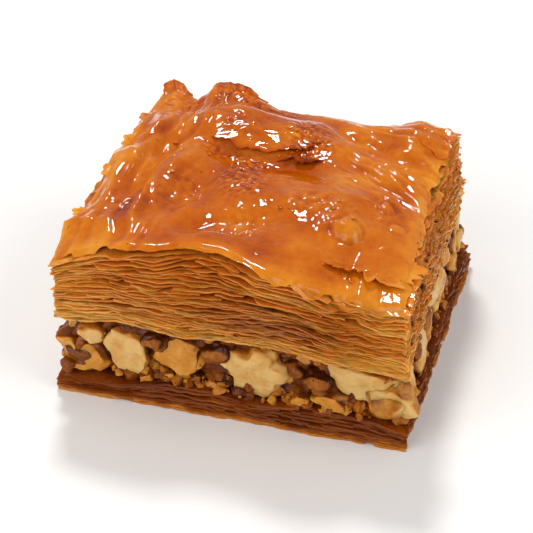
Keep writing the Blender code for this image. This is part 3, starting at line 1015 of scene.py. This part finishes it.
@dataclass
class SyrupBeads:
    """Small beads and streaks of syrup that stand on the crust."""

    crust: Crust
    doublings: int = 6
    smallest: float = 0.3
    largest: float = 0.85
    longest: float = 1.8
    rise: float = 0.28
    most_off: float = 25.0
    seed: int = 12
    zones: tuple[BroadForm, ...] = (
        BroadForm(19.0, -22.0, 1.0, 7.5, 3.2, 0),
        BroadForm(-3.0, -18.5, 1.0, 6.0, 3.0, 20),
        BroadForm(9.0, -9.0, 1.0, 8.0, 5.0, 20),
        BroadForm(-16.0, 0.0, 1.0, 5.0, 12.0, 0),
        BroadForm(-8.0, 8.5, 1.0, 9.0, 3.0, 0),
    )

    def draw_bead(self, number: int, draws: random.Random) -> Callable[[Vector], Vector]:
        """Draw one bead, a low uneven dome sunk into the crust, and give where its points go."""
        zone = self.zones[number % len(self.zones)]
        x = zone.x + draws.gauss(0, 0.5) * zone.reach_along
        y = zone.y + draws.gauss(0, 0.5) * zone.reach_across
        x, y = min(max(x, -self.most_off), self.most_off + 0.5), min(max(y, -self.most_off), self.most_off)
        size = self.smallest + (self.largest - self.smallest) * draws.random() ** 2
        long = draws.uniform(1.0, self.longest)
        turn = Matrix.Rotation(draws.uniform(0, math.pi), 2)
        shift = draws.uniform(0, 40)
        level = self.crust.surface(x, y)

        def place(co: Vector) -> Vector:
            swell = 1 + 0.35 * wave(co.x * 1.3 + shift, co.y * 1.3, co.z)
            flat = turn @ Vector((co.x * long, co.y)) * size / 2 * swell
            return Vector((x + flat.x, y + flat.y, level + co.z * size * self.rise)) * MM

        return place

    def build(self) -> None:
        """Scatter the beads over their zones."""
        draws = random.Random(self.seed)
        piece = scatter_lumps(
            "syrup_beads", 3, self.doublings, draws, lambda number: self.draw_bead(number, draws))
        set_in_frame(piece, "glazed_filo", SYRUP.make(), 80)


@dataclass(frozen=True)
class SheetWave:
    """One layer of smooth noise over the edges of a stack's sheets: its height and length in mm.

    Its change says how much it differs from one sheet to the next, and its shift tells it from
    other layers.
    """

    height: float
    length: float
    change: float
    shift: float

    def at(self, run: float, sheet: float, seed: float = 0.0) -> float:
        """Height at a place along the rim of a sheet, with a seed that tells one stack from another."""
        return self.height * wave(run / self.length, sheet * self.change, seed + self.shift)


@dataclass
class SheetStack:
    """The edges of a stack of filo sheets: a thin wavy ring for each sheet, round all four cuts."""

    name: str
    first: int
    last: int
    sheets: int
    thickness: float
    floor: Level
    ceiling: Level
    slot: str
    finish: FoodFinish
    tone: Callable[[float, float, float, Vector], float]
    clump: float = 0.75
    pairing: float = 0.22
    ragged: float = 0.4
    fringe: float = 1.1
    side_ragged: float = 2.0
    most_out: float = 0.7
    around: int = 620
    ring_depths: tuple[float, ...] = (0.0, 0.5, 1.6, 4.8)
    ring_share: tuple[float, ...] = (1.0, 0.8, 0.5, 0.0)
    leaves_spread: float = 0.1
    pocket_spread: float = 0.32
    pocket: BroadForm = BroadForm(-8.0, 0.0, 1.0, 15.0, 1.0)
    crust_above: bool = True
    seed: float = 0.0
    swells_out: tuple[SheetWave, SheetWave] = (SheetWave(0.5, 9, 0.35, 0), SheetWave(0.35, 3, 1.7, 5))
    tatters: SheetWave = SheetWave(0.6, 1.5, 2.3, 9)
    nicks: SheetWave = SheetWave(1.0, 1.0, 3.1, 11)
    tears: SheetWave = SheetWave(1.0, 3.2, 1.9, 13)
    fringe_wave: SheetWave = SheetWave(1.0, 3.5, 0.9, 17)
    clump_wave: SheetWave = SheetWave(1.0, 11, 0.28, 30)
    pairing_wave: SheetWave = SheetWave(1.0, 8, 0.85, 35)
    edge_wave: SheetWave = SheetWave(0.4, 4, 0.6, 40)
    crinkled: SheetWave = SheetWave(1.0, 8, 0.7, 45)
    crinkles: SheetWave = SheetWave(0.2, 1.4, 1.7, 50)
    lip_wave: SheetWave = SheetWave(0.15, 2.4, 1.3, 60)
    lip_sunk: float = 0.08
    columns: dict[tuple[int, int], tuple] = field(default_factory=dict)

    def edge_out(self, sheet: int, turn: float, side: Side, place: float) -> float:
        """How far a sheet's edge stands out of the cut at one place."""
        spot = PERIMETER * turn, sheet, self.seed
        rough = 1.0 if side is Side.FRONT else self.side_ragged
        out = sum(swell.at(*spot) for swell in self.swells_out)
        out += self.ragged * self.tatters.at(*spot) * rough
        out += self.ragged * 0.2 * (ridge(self.nicks.at(*spot)) - 0.3) * rough
        out -= 1.3 * smooth(0.4, 0.6, self.tears.at(*spot)) * rough
        if self.crust_above:
            share = (sheet + 0.5) / self.sheets
            out += FORM.reach(side, place) * smooth(0.5, 1.0, share)
            out += self.fringe * smooth(0.8, 0.88, share) * (self.fringe_wave.at(*spot) + 0.2)
        return min(out, self.most_out)

    def column(self, ring: int, step: int) -> tuple:
        """What all sheets share at one place: side, u, v, place, lowest and highest level."""
        if (ring, step) not in self.columns:
            side, u, v, place = FORM.rim_point(step / self.around)
            u_in, v_in = FORM.inward(u, v, self.ring_depths[ring])
            self.columns[ring, step] = side, u, v, place, self.floor(u_in, v_in), self.ceiling(u_in, v_in)
        return self.columns[ring, step]

    def spread(self, share: float, side: Side, place: float) -> float:
        """Where in the height of the stack a sheet lies: the top ones are further apart."""
        gate = self.pocket.inside(place, 0.0) if side is Side.FRONT else 0.3
        amount = self.leaves_spread + (self.pocket_spread - self.leaves_spread) * gate
        return share * (1 - amount) + amount * share ** 3

    def sheet_point(self, sheet: int, ring: int, step: int) -> Vector:
        """Place in metres of one point of a sheet's ring."""
        side, u, v, place, low, high = self.column(ring, step)
        turn = step / self.around
        spot = PERIMETER * turn, sheet, self.seed
        fade = self.ring_share[ring]
        share = self.spread((sheet + 0.5) / self.sheets, side, place)
        height = low + (high - low) * share
        height += self.clump * min(1.0, 7 * share * (1 - share)) * self.clump_wave.at(*spot)
        height += self.pairing * self.pairing_wave.at(*spot) + self.clump * self.edge_wave.at(*spot) * fade
        height += smooth(-0.1, 0.4, self.crinkled.at(*spot)) * self.crinkles.at(*spot) * fade
        if ring == 0:
            height += self.lip_wave.at(*spot) - self.lip_sunk
        height = min(max(height, low + self.thickness * 0.6), high - self.thickness)
        out = self.edge_out(sheet, turn, side, place)
        u_out, v_out = FORM.inward(u, v, self.ring_depths[ring] - out * fade)
        flat = FORM.plan(u_out, v_out, height)
        return Vector((flat.x, flat.y, height)) * MM

    def build_sheet(self, sheet: int) -> bpy.types.Object:
        """Model one sheet's ring from its ragged edge inwards."""
        around = self.around
        piece = ring_loft(
            f"{self.name}_{sheet}", around, len(self.ring_depths),
            lambda ring, step: self.sheet_point(sheet, ring, step), False)
        share = (sheet + 0.5) / self.sheets
        # Each ring's depth behind the cut goes to the tone, which paints shade further in.
        tone_points(piece, lambda index, co: self.tone(
            share, (index % around) / around, self.ring_depths[index // around], co))
        apply_modifier(piece, "SOLIDIFY", {"thickness": self.thickness * MM, "offset": 0.0})
        return piece

    def build(self) -> None:
        """Model every sheet and join them."""
        piece = join([self.build_sheet(sheet) for sheet in range(self.first, self.last)], self.name)
        set_in_frame(piece, self.slot, self.finish.make(), 50)


UPPER_STREAKS = SheetWave(0.3, 10, 40, 60), SheetWave(0.2, 3, 60, 65)
UPPER_BROWNING = BroadForm(9.0, 21.5, 1.0, 13.0, 4.2, -4)
BASE_STREAK = SheetWave(0.26, 7, 14, 80)
BASE_EDGE = SheetWave(0.6, 3, 0, 70)


def upper_tone(share: float, turn: float, inward: float, place: Vector) -> float:
    """Tone of the upper sheets: golden at corners and lowest sheets, browner right of the middle, with
    painted shade a little way in from the cut.
    """
    x, y, z = place / MM
    corner = smooth(17, 27, abs(x)) * smooth(17, 27, abs(y))
    low = 1 - smooth(16.5, 19.5, z)
    brown = 0.15 if x > 24 else 0.35
    if y < -20:
        brown = UPPER_BROWNING.inside(x, z)
    streak = sum(layer.at(PERIMETER * turn, share) for layer in UPPER_STREAKS)
    # The last term is painted shade: the sheets darken a little way in from the cut, where less light reaches
    # between them.
    return 0.44 + 0.24 * brown + streak - 0.2 * corner - 0.24 * low + 0.04 * smooth(0, 2, inward)


def base_tone(share: float, turn: float, inward: float, place: Vector) -> float:
    """Tone of the lower sheets: dark and wet, golden at the lower edge and the left corner, with painted
    shade a little way in from the cut.
    """
    x, _y, z = place / MM
    run = PERIMETER * turn
    edge = 1 - smooth(0.4, 1.5, z + BASE_EDGE.at(run, share))
    left = smooth(22, 29, -x)
    # The last term is painted shade: the sheets darken a little way in from the cut, where less light reaches
    # between them.
    return 0.7 + BASE_STREAK.at(run, share) - 0.45 * edge - 0.12 * left + 0.1 * smooth(0, 2, inward)


@dataclass
class Core:
    """A closed body behind or between the sheets and nuts, with a wall of many fine rings."""

    name: str
    floor: Level
    ceiling: Level
    slot: str
    replaced: str | None
    finish: FoodFinish
    inset: float
    relief: tuple[Ripple, ...]
    baked: float
    mottle: Ripple
    around: int = 520
    levels: int = 20
    cap_inset: float = 9.0
    cap_drop: float = 0.0

    def point(self, ring: int, step: int) -> Vector:
        """Place in metres of one point: a ring below, the wall's rings, a ring above."""
        _side, u, v, _place = FORM.rim_point(step / self.around)
        run = PERIMETER * step / self.around
        level = min(max(ring - 1, 0), self.levels) / self.levels
        u_wall, v_wall = FORM.inward(u, v, self.inset)
        low, high = self.floor(u_wall, v_wall), self.ceiling(u_wall, v_wall)
        height = low + (high - low) * level
        depth = self.inset + sum(ripple.at(run, height) for ripple in self.relief)
        if ring in (0, self.levels + 2):
            depth = self.inset + self.cap_inset
            u_cap, v_cap = FORM.inward(u, v, depth)
            height = self.floor(u_cap, v_cap) if ring == 0 else self.ceiling(u_cap, v_cap) - self.cap_drop
        u_in, v_in = FORM.inward(u, v, depth)
        spot = FORM.plan(u_in, v_in, height)
        return Vector((spot.x, spot.y, height)) * MM

    def tone(self, step: int, height: float) -> float:
        """How dark the wall is at a step round it and a height."""
        return self.baked + self.mottle.at(PERIMETER * step / self.around, height)

    def build(self) -> None:
        """Model the body ring by ring and close it."""
        piece = ring_loft(self.name, self.around, self.levels + 3, self.point, True)
        tone_points(piece, lambda index, co: self.tone(index % self.around, co.z / MM))
        if self.replaced:
            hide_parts(self.replaced)
        set_in_frame(piece, self.slot, self.finish.make(), 70)


@dataclass(frozen=True)
class Walnut:
    """One chopped walnut piece on a cut side, in mm: its place along the side, height and size.

    corners is how many knife cuts shape its outline, and face how deep the cut that shows goes.
    """

    side: Side
    place: float
    height: float
    width: float
    tall: float
    kind: WalnutKind
    corners: int = 5
    face: float = 0.62
    stand: float = 0.5
    turn: float = 0.0
    lobes: int = 0


@dataclass
class WalnutLayer:
    """All chopped walnut pieces that show: those of the front as seen, the others by a seeded rule."""

    depth: float = 7.0
    clearance: float = 0.1
    grain: float = 0.25
    side_grain: float = 0.36
    squeeze: float = 0.12
    settle: float = 0.7
    side_count: int = 15
    smallest: float = 5.0
    largest: float = 11.0
    row_lift: float = 2.3
    cut_tilt: float = 0.22
    rough_mm: float = 1.5
    rough_height: float = 0.2
    wrinkled_height: float = 0.44
    patch_mm: float = 2.6
    patch: float = 0.25
    seed: int = 27
    front: tuple[Walnut, ...] = (
        Walnut(Side.FRONT, -28.0, 10.2, 4.6, 5.0, WalnutKind.GOLDEN, 4, 0.7),
        Walnut(Side.FRONT, -24.2, 12.8, 5.4, 4.4, WalnutKind.PALE, 4, 0.8, 0.3),
        Walnut(Side.FRONT, -24.4, 7.8, 9.0, 7.8, WalnutKind.GOLDEN, 5, 0.75),
        Walnut(Side.FRONT, -18.0, 10.1, 8.6, 10.8, WalnutKind.PALE, 6, 0.5, 0.8, 10),
        Walnut(Side.FRONT, -14.6, 5.8, 3.6, 3.4, WalnutKind.GOLDEN, 4, 0.8),
        Walnut(Side.FRONT, -12.6, 13.2, 5.0, 4.4, WalnutKind.SKINNED, 4, 0.9, 0.1),
        Walnut(Side.FRONT, -9.1, 10.9, 8.6, 7.4, WalnutKind.GOLDEN, 5, 0.5, 0.6),
        Walnut(Side.FRONT, -2.2, 13.0, 6.8, 4.6, WalnutKind.SKINNED, 5, 0.85, 0.3),
        Walnut(Side.FRONT, 3.9, 9.8, 11.0, 10.0, WalnutKind.PALE, 0, 0.45, 0.9, 0, 5),
        Walnut(Side.FRONT, 10.6, 12.4, 4.6, 4.4, WalnutKind.SKINNED, 4, 0.9, -0.6),
        Walnut(Side.FRONT, 14.4, 10.8, 6.0, 5.4, WalnutKind.SKINNED, 5, 0.9, 0.2),
        Walnut(Side.FRONT, 21.3, 11.6, 12.4, 6.6, WalnutKind.PALE, 0, 0.45, 0.7, -14),
        Walnut(Side.FRONT, 16.6, 7.0, 7.4, 4.4, WalnutKind.GOLDEN, 4, 0.8, 0.4),
        Walnut(Side.FRONT, 26.0, 8.2, 8.2, 9.0, WalnutKind.PALE, 4, 0.5, 0.9, 25),
        Walnut(Side.FRONT, 11.3, 7.0, 3.8, 3.4, WalnutKind.GOLDEN, 4, 0.8),
        Walnut(Side.FRONT, -6.0, 6.8, 3.6, 2.8, WalnutKind.SKINNED, 4, 0.9, -0.4),
        Walnut(Side.FRONT, -10.8, 6.6, 4.4, 3.0, WalnutKind.GOLDEN, 5, 0.8, 0.0),
        Walnut(Side.FRONT, -1.6, 7.0, 4.0, 3.4, WalnutKind.SKINNED, 5, 0.85, -0.2),
        # The piece that stands out at the right back corner
        Walnut(Side.RIGHT, 24.6, 13.0, 6.4, 5.2, WalnutKind.PALE, 5, 0.6, 0.9),
    )

    def walnuts(self) -> list[Walnut]:
        """The pieces of all sides."""
        draws = random.Random(self.seed)
        middle = (FORM.nut_floor + FORM.nut_ceiling) / 2
        kinds = (WalnutKind.PALE, WalnutKind.GOLDEN, WalnutKind.SKINNED, WalnutKind.GOLDEN)
        nuts = list(self.front)
        for side in (Side.RIGHT, Side.BACK, Side.LEFT):
            for number in range(self.side_count):
                wide = draws.uniform(self.smallest, self.largest)
                tall = wide * draws.uniform(0.65, 1.0)
                place = ((number + 0.5) / self.side_count - 0.5) * (FORM.width - 3) + draws.uniform(-0.8, 0.8)
                lift = (1 if number % 2 else -1) * draws.uniform(0.4, 1.0) * self.row_lift
                kind = kinds[draws.randrange(len(kinds))]
                nuts.append(Walnut(
                    side, place, middle + lift, wide, tall, kind, draws.choice((0, 4, 5, 6)),
                    draws.uniform(0.5, 0.85), draws.uniform(0.2, 0.8), draws.uniform(-30, 30)))
        return nuts

    def squeezed(self, value: float, limit: float) -> float:
        """A value pressed softly against an upper limit."""
        return value if value < limit else limit + self.squeeze * (value - limit)

    def nut_point(self, nut: Walnut, offset: Vector) -> Vector:
        """Place in metres of one point of a piece, from its place on the chopped unit lump."""
        angle = math.radians(nut.turn)
        wide, tall = offset.x * nut.width / 2, offset.z * nut.tall / 2
        run = nut.place + wide * math.cos(angle) - tall * math.sin(angle)
        rise = nut.height - self.settle + wide * math.sin(angle) + tall * math.cos(angle)
        share = min(max(run / FORM.width + 0.5, 0.0), 1.0)
        inward = -self.squeezed(nut.stand - self.depth / 2 * (1 + offset.y), nut.stand)
        u, v = nut.side.inset(share, max(inward, 0.0) / FORM.depth)
        rise = self.squeezed(rise, FORM.stack_floor(u, v) - self.clearance)
        rise = -self.squeezed(-rise, -FORM.base_ceiling(u, v) - self.clearance)
        edge = FORM.plan(*nut.side.inset(share, 0.0), rise)
        if nut.side in (Side.FRONT, Side.BACK):
            edge.x = run
        else:
            edge.y = run
        spot = edge - nut.side.out().xy * inward
        return Vector((spot.x, spot.y, rise)) * MM

    def lump_point(self, nut: Walnut, co: Vector, number: int) -> Vector:
        """Uneven form of a lump before it is cut, with the lobes of walnut flesh where it has them."""
        shift = Vector((number * 1.7, 0, number * 0.9))
        swell = 0.35 * noise.noise(co * 1.3 + shift) + 0.12 * noise.noise(co * 3.1 + shift)
        if nut.lobes:
            angle = math.atan2(co.z, co.x)
            flat = 1 - abs(co.y) ** 2
            swell += flat * (0.17 * math.cos(nut.lobes * angle - 0.5) + 0.07 * math.cos(11 * angle + 1))
        return co * (1 + swell)

    def cuts(self, nut: Walnut, draws: random.Random) -> list[tuple[Vector, float]]:
        """The knife cuts of a piece: the one that shows, and those round its outline."""
        lean, tip = [draws.uniform(-self.cut_tilt, self.cut_tilt) for _ in range(2)]
        planes = [(Vector((lean, -1, tip)).normalized(), nut.face)]
        start = draws.uniform(0, 2 * math.pi)
        for number in range(nut.corners):
            angle = start + 2 * math.pi * (number + draws.uniform(-0.25, 0.25)) / nut.corners
            away = Vector((math.cos(angle), draws.uniform(-0.5, 0.35), math.sin(angle))).normalized()
            planes.append((away, draws.uniform(0.72, 0.98)))
        return planes

    def build_nut(self, nut: Walnut, number: int, draws: random.Random) -> bpy.types.Object:
        """Chop one lump with knife cuts, round it a little, and set it in its side."""
        clear_selection()
        bpy.ops.mesh.primitive_ico_sphere_add(subdivisions=4, radius=1)
        piece = start_piece(f"walnut_{number}")
        move_points(piece, lambda _index, co: self.lump_point(nut, co, number))
        bpy.ops.object.mode_set(mode="EDIT")
        for away, distance in self.cuts(nut, draws):
            bpy.ops.mesh.select_all(action="SELECT")
            bpy.ops.mesh.bisect(plane_co=away * distance, plane_no=away, use_fill=True, clear_outer=True)
        bpy.ops.object.mode_set(mode="OBJECT")
        move_points(piece, lambda _index, co: self.nut_point(nut, co))
        grain = self.grain if nut.side is Side.FRONT else self.side_grain
        apply_modifier(piece, "REMESH", {"mode": "VOXEL", "voxel_size": grain * MM})
        apply_modifier(piece, "SMOOTH", {"factor": 0.5, "iterations": 5})
        self.roughen(piece, nut, number)
        return piece

    def roughen(self, piece: bpy.types.Object, nut: Walnut, number: int) -> None:
        """Give a piece its grain, and its tone: pale on the knife's face, golden and brown round it."""
        normals = [point.normal.copy() for point in piece.data.vertices]
        height = self.wrinkled_height if nut.kind is WalnutKind.SKINNED else self.rough_height

        def place(index: int, co: Vector) -> Vector:
            spot = co / (self.rough_mm * MM) + Vector((0, 0, number))
            lump = noise.noise(spot * 0.55) * 1.6 + noise.noise(spot) + 0.6 * noise.noise(spot * 2.3)
            return co + normals[index] * (height * lump * MM)

        move_points(piece, place)
        face = nut.side.out()
        lean = {WalnutKind.PALE: 0.08, WalnutKind.GOLDEN: 0.25, WalnutKind.SKINNED: 0.5}[nut.kind]
        rim = 0.5 if nut.kind is WalnutKind.PALE else 0.75

        def tone(index: int, co: Vector) -> float:
            turned = 1 - max(0.0, normals[index].dot(face))
            patch = self.patch * noise.noise(co / (self.patch_mm * MM) + Vector((number, 0, 0)))
            return lean + rim * smooth(0.1, 0.7, turned) + patch

        tone_points(piece, tone)

    def build(self) -> None:
        """Model every piece, and join those of one kind."""
        draws = random.Random(self.seed + 1)
        kinds: dict[WalnutKind, list[bpy.types.Object]] = {kind: [] for kind in WalnutKind}
        for number, nut in enumerate(self.walnuts()):
            kinds[nut.kind].append(self.build_nut(nut, number, draws))
        finishes = {
            WalnutKind.PALE: WALNUT_FLESH, WalnutKind.GOLDEN: WALNUT_GOLDEN, WalnutKind.SKINNED: WALNUT_SKIN,
        }
        for kind, pieces in kinds.items():
            set_in_frame(join(pieces, kind.value), "walnut", finishes[kind].make(), 70)


@dataclass
class NutCrumbs:
    """Small chopped crumbs that fill the gaps between the walnut pieces on all four sides.

    On the three sides cut with a dull knife, some crumbs were dragged up over the sheet edges.
    """

    doublings: int = 11
    smallest: float = 0.5
    largest: float = 2.9
    deepest: float = 1.7
    dragged: float = 0.3
    dragged_to: float = 25.0
    dragged_size: float = 1.3
    dragged_deepest: float = 0.8
    seed: int = 63

    def draw_crumb(self, side: Side, draws: random.Random) -> Callable[[Vector], Vector]:
        """Draw one angular crumb, seated in the paste, and give where its points go."""
        share = draws.uniform(0.02, 0.98)
        level = draws.random() ** 1.6
        rise = FORM.nut_floor + 0.2 + level * (FORM.nut_ceiling - FORM.nut_floor - 0.5)
        size = self.smallest + (self.largest - self.smallest) * draws.random() ** 2
        inward = draws.uniform(-0.1, self.deepest) + self.deepest * min(1.0, 4 * level) + size / 3
        if side is not Side.FRONT and draws.random() < self.dragged:
            rise = FORM.nut_ceiling + (self.dragged_to - FORM.nut_ceiling) * draws.random() ** 1.3
            size = draws.uniform(self.smallest, self.dragged_size)
            inward = draws.uniform(0.0, self.dragged_deepest)
        spot = FORM.plan(*side.inset(share, 0.0), rise) - side.out().xy * inward
        middle = Vector((spot.x, spot.y, rise)) * MM
        shift = Vector((draws.uniform(0, 50), 0, 0))
        wide, deep, tall = [draws.uniform(0.6, 1.2) * size / 2 * MM for _ in range(3)]

        def place(co: Vector) -> Vector:
            lump = 1 + 0.6 * noise.noise(co * 1.3 + shift)
            return middle + Vector((co.x * wide, co.y * deep, co.z * tall)) * lump

        return place

    def build(self) -> None:
        """Model the crumbs of all sides."""
        draws = random.Random(self.seed)
        piece = scatter_lumps(
            "nut_crumbs", 2, self.doublings, draws, lambda number: self.draw_crumb(Side(number % 4), draws))
        set_in_frame(piece, "walnut", NUT_CRUMB.make(), 40)


@dataclass
class Studio:
    """The camera at the photograph's viewing angle, a pale floor and plain soft light."""

    eye: Vector = field(default_factory=lambda: Vector((59.7, -218.7, 168.9)) * MM)
    aim: Vector = field(default_factory=lambda: Vector((-0.6, -3.0, 14.6)) * MM)
    lens: float = 108.0
    floor_size: float = 4.0
    floor_below: float = 0.02
    floor_tones: tuple[str, str] = ("#F2F1EF", "#F6F5F3")
    sky: float = 0.37

    def add_camera(self) -> None:
        """Add the camera: a long lens from above the front right."""
        clear_selection()
        bpy.ops.object.camera_add(location=self.eye)
        camera = start_piece("camera")
        camera.rotation_euler = (self.aim - self.eye).to_track_quat("-Z", "Y").to_euler()
        camera.data.lens = self.lens
        camera.data.sensor_width = 36.0
        camera.data.clip_start = 0.01
        camera.data.dof.use_dof = False
        bpy.context.scene.camera = camera
        bpy.context.scene.view_settings.view_transform = "Standard"

    def add_floor(self) -> None:
        """Add a pale matt floor just under the piece."""
        clear_selection()
        bpy.ops.mesh.primitive_plane_add(size=self.floor_size, location=(0, 0, -self.floor_below * MM))
        floor = start_piece("floor")
        material = bpy.data.materials.new("pale_matt_card")
        material.use_nodes = True
        tree = material.node_tree
        place = add_node(tree, "ShaderNodeTexCoord").outputs["Object"]
        cloud = add_node(tree, "ShaderNodeTexNoise", {"Scale": 3.0}, {"Vector": place}).outputs["Fac"]
        shade, light = [linear(tone) for tone in self.floor_tones]
        colour = add_node(tree, "ShaderNodeMix", {"data_type": "RGBA", 6: shade, 7: light},
                          {0: cloud}).outputs[2]
        shader = tree.nodes["Principled BSDF"]
        tree.links.new(colour, shader.inputs["Base Color"])
        shader.inputs["Roughness"].default_value = 0.9
        shader.inputs["Specular IOR Level"].default_value = 0.2
        floor.data.materials.append(material)

    def add_softbox(self, name: str, towards: tuple[float, float, float], distance: float, size: float,
                    power: float) -> None:
        """Add one square softbox that faces the piece.

        Args:
            name: the light's name.
            towards: the direction from the piece to the light.
            distance: how far it stands from the piece, in metres.
            size: its edge, in metres.
            power: in watts.
        """
        middle = Vector((0, 0, 0.02))
        place = middle + Vector(towards).normalized() * distance
        clear_selection()
        bpy.ops.object.light_add(type="AREA", location=place)
        light = start_piece(name)
        light.data.size = size
        light.data.energy = power
        light.rotation_euler = (middle - place).to_track_quat("-Z", "Y").to_euler()

    def add_sky(self) -> None:
        """Light the scene evenly from a white surround."""
        world = bpy.data.worlds.new("white_surround")
        bpy.context.scene.world = world
        world.use_nodes = True
        backdrop = world.node_tree.nodes["Background"]
        backdrop.inputs["Color"].default_value = linear("#FFFFFF")
        backdrop.inputs["Strength"].default_value = self.sky

    def build(self) -> None:
        """Add everything that isn't part of the object."""
        self.add_camera()
        self.add_floor()
        self.add_softbox("back_softbox", (-0.22, 0.50, 0.84), 0.75, 0.12, 3.0)
        self.add_softbox("front_softbox", (-0.45, -0.75, 0.5), 0.95, 0.8, 4.6)
        self.add_softbox("side_softbox", (0.8, -0.15, 0.6), 0.9, 0.6, 3.0)
        self.add_sky()


UPPER_SHEETS = 36
CRISP_FROM = 18
BASE_SHEETS = 9
LOOSE_RIM = BroadForm(-8.0, -27.5, 0.8, 16.0, 6.0)


def under_crust(u: float, v: float) -> float:
    """Height of the top sheet at (u, v), with a gap where the crust's front rim came loose."""
    x, y = (u - 0.5) * FORM.width, (v - 0.5) * FORM.depth
    return FORM.crust(u, v) - 0.8 - LOOSE_RIM.height * LOOSE_RIM.inside(x, y)


def build_upper_filo() -> None:
    """Build the crust with its leaves and beads, the sheets under it, and the shade between them."""
    crust = Crust()
    crust.build()
    CrustLeaves(crust).build()
    SyrupBeads(crust).build()
    upper = {
        "sheets": UPPER_SHEETS, "floor": FORM.stack_floor, "ceiling": under_crust, "slot": "glazed_filo",
        "tone": upper_tone,
    }
    SheetStack("moist_sheets", 0, CRISP_FROM, thickness=0.3, finish=MOIST_FILO, **upper).build()
    SheetStack("crisp_sheets", CRISP_FROM, UPPER_SHEETS, thickness=0.25, finish=CRISP_FILO, **upper).build()
    Core(
        "upper_core", FORM.stack_floor, lambda u, v: FORM.crust(u, v) - 2.0, "glazed_filo", None,
        FILO_HEART, 3.6, relief=(Ripple(0.4, 4, 0.5),), baked=0.5, mottle=Ripple(1.0, 6, 1.0), cap_drop=3.0,
    ).build()


def build_nut_filling() -> None:
    """Build the walnut pieces, the crumbs between them and the paste behind them."""
    WalnutLayer().build()
    NutCrumbs().build()
    Core(
        "nut_paste", lambda u, v: FORM.nut_floor - 0.3, lambda u, v: FORM.nut_ceiling + 0.3, "walnut",
        "nut_filling", NUT_PASTE, 2.3, relief=(Ripple(1.0, 1.7, 1.7), Ripple(0.5, 0.8, 0.8, 5)),
        baked=0.5, mottle=Ripple(0.5, 1.5, 1.5, 9),
    ).build()


def build_base_filo() -> None:
    """Build the lower sheets and the soaked body behind them."""
    SheetStack(
        "base_sheets", 0, BASE_SHEETS, BASE_SHEETS, 0.42, lambda u, v: 0.0, FORM.base_ceiling,
        "soaked_filo", SOAKED_FILO, base_tone, clump=0.3, pairing=0.25, most_out=0.3, side_ragged=1.2,
        crust_above=False, pocket_spread=0.0, leaves_spread=0.0, seed=100.0,
    ).build()
    Core(
        "base_body", lambda u, v: 0.02, lambda u, v: FORM.base_ceiling(u, v) - 0.2, "soaked_filo",
        "base_filo", SOAKED_FILO, 0.7, relief=(Ripple(0.35, 5, 0.45), Ripple(0.15, 1.2, 0.5, 3)),
        baked=0.72, mottle=Ripple(0.2, 4, 0.6, 9),
    ).build()


def main() -> None:
    """Build the piece layer by layer, then the studio."""
    logging.basicConfig(level=logging.INFO, format="%(message)s")
    build_upper_filo()
    build_nut_filling()
    build_base_filo()
    Studio().build()


if __name__ == "__main__":
    main()
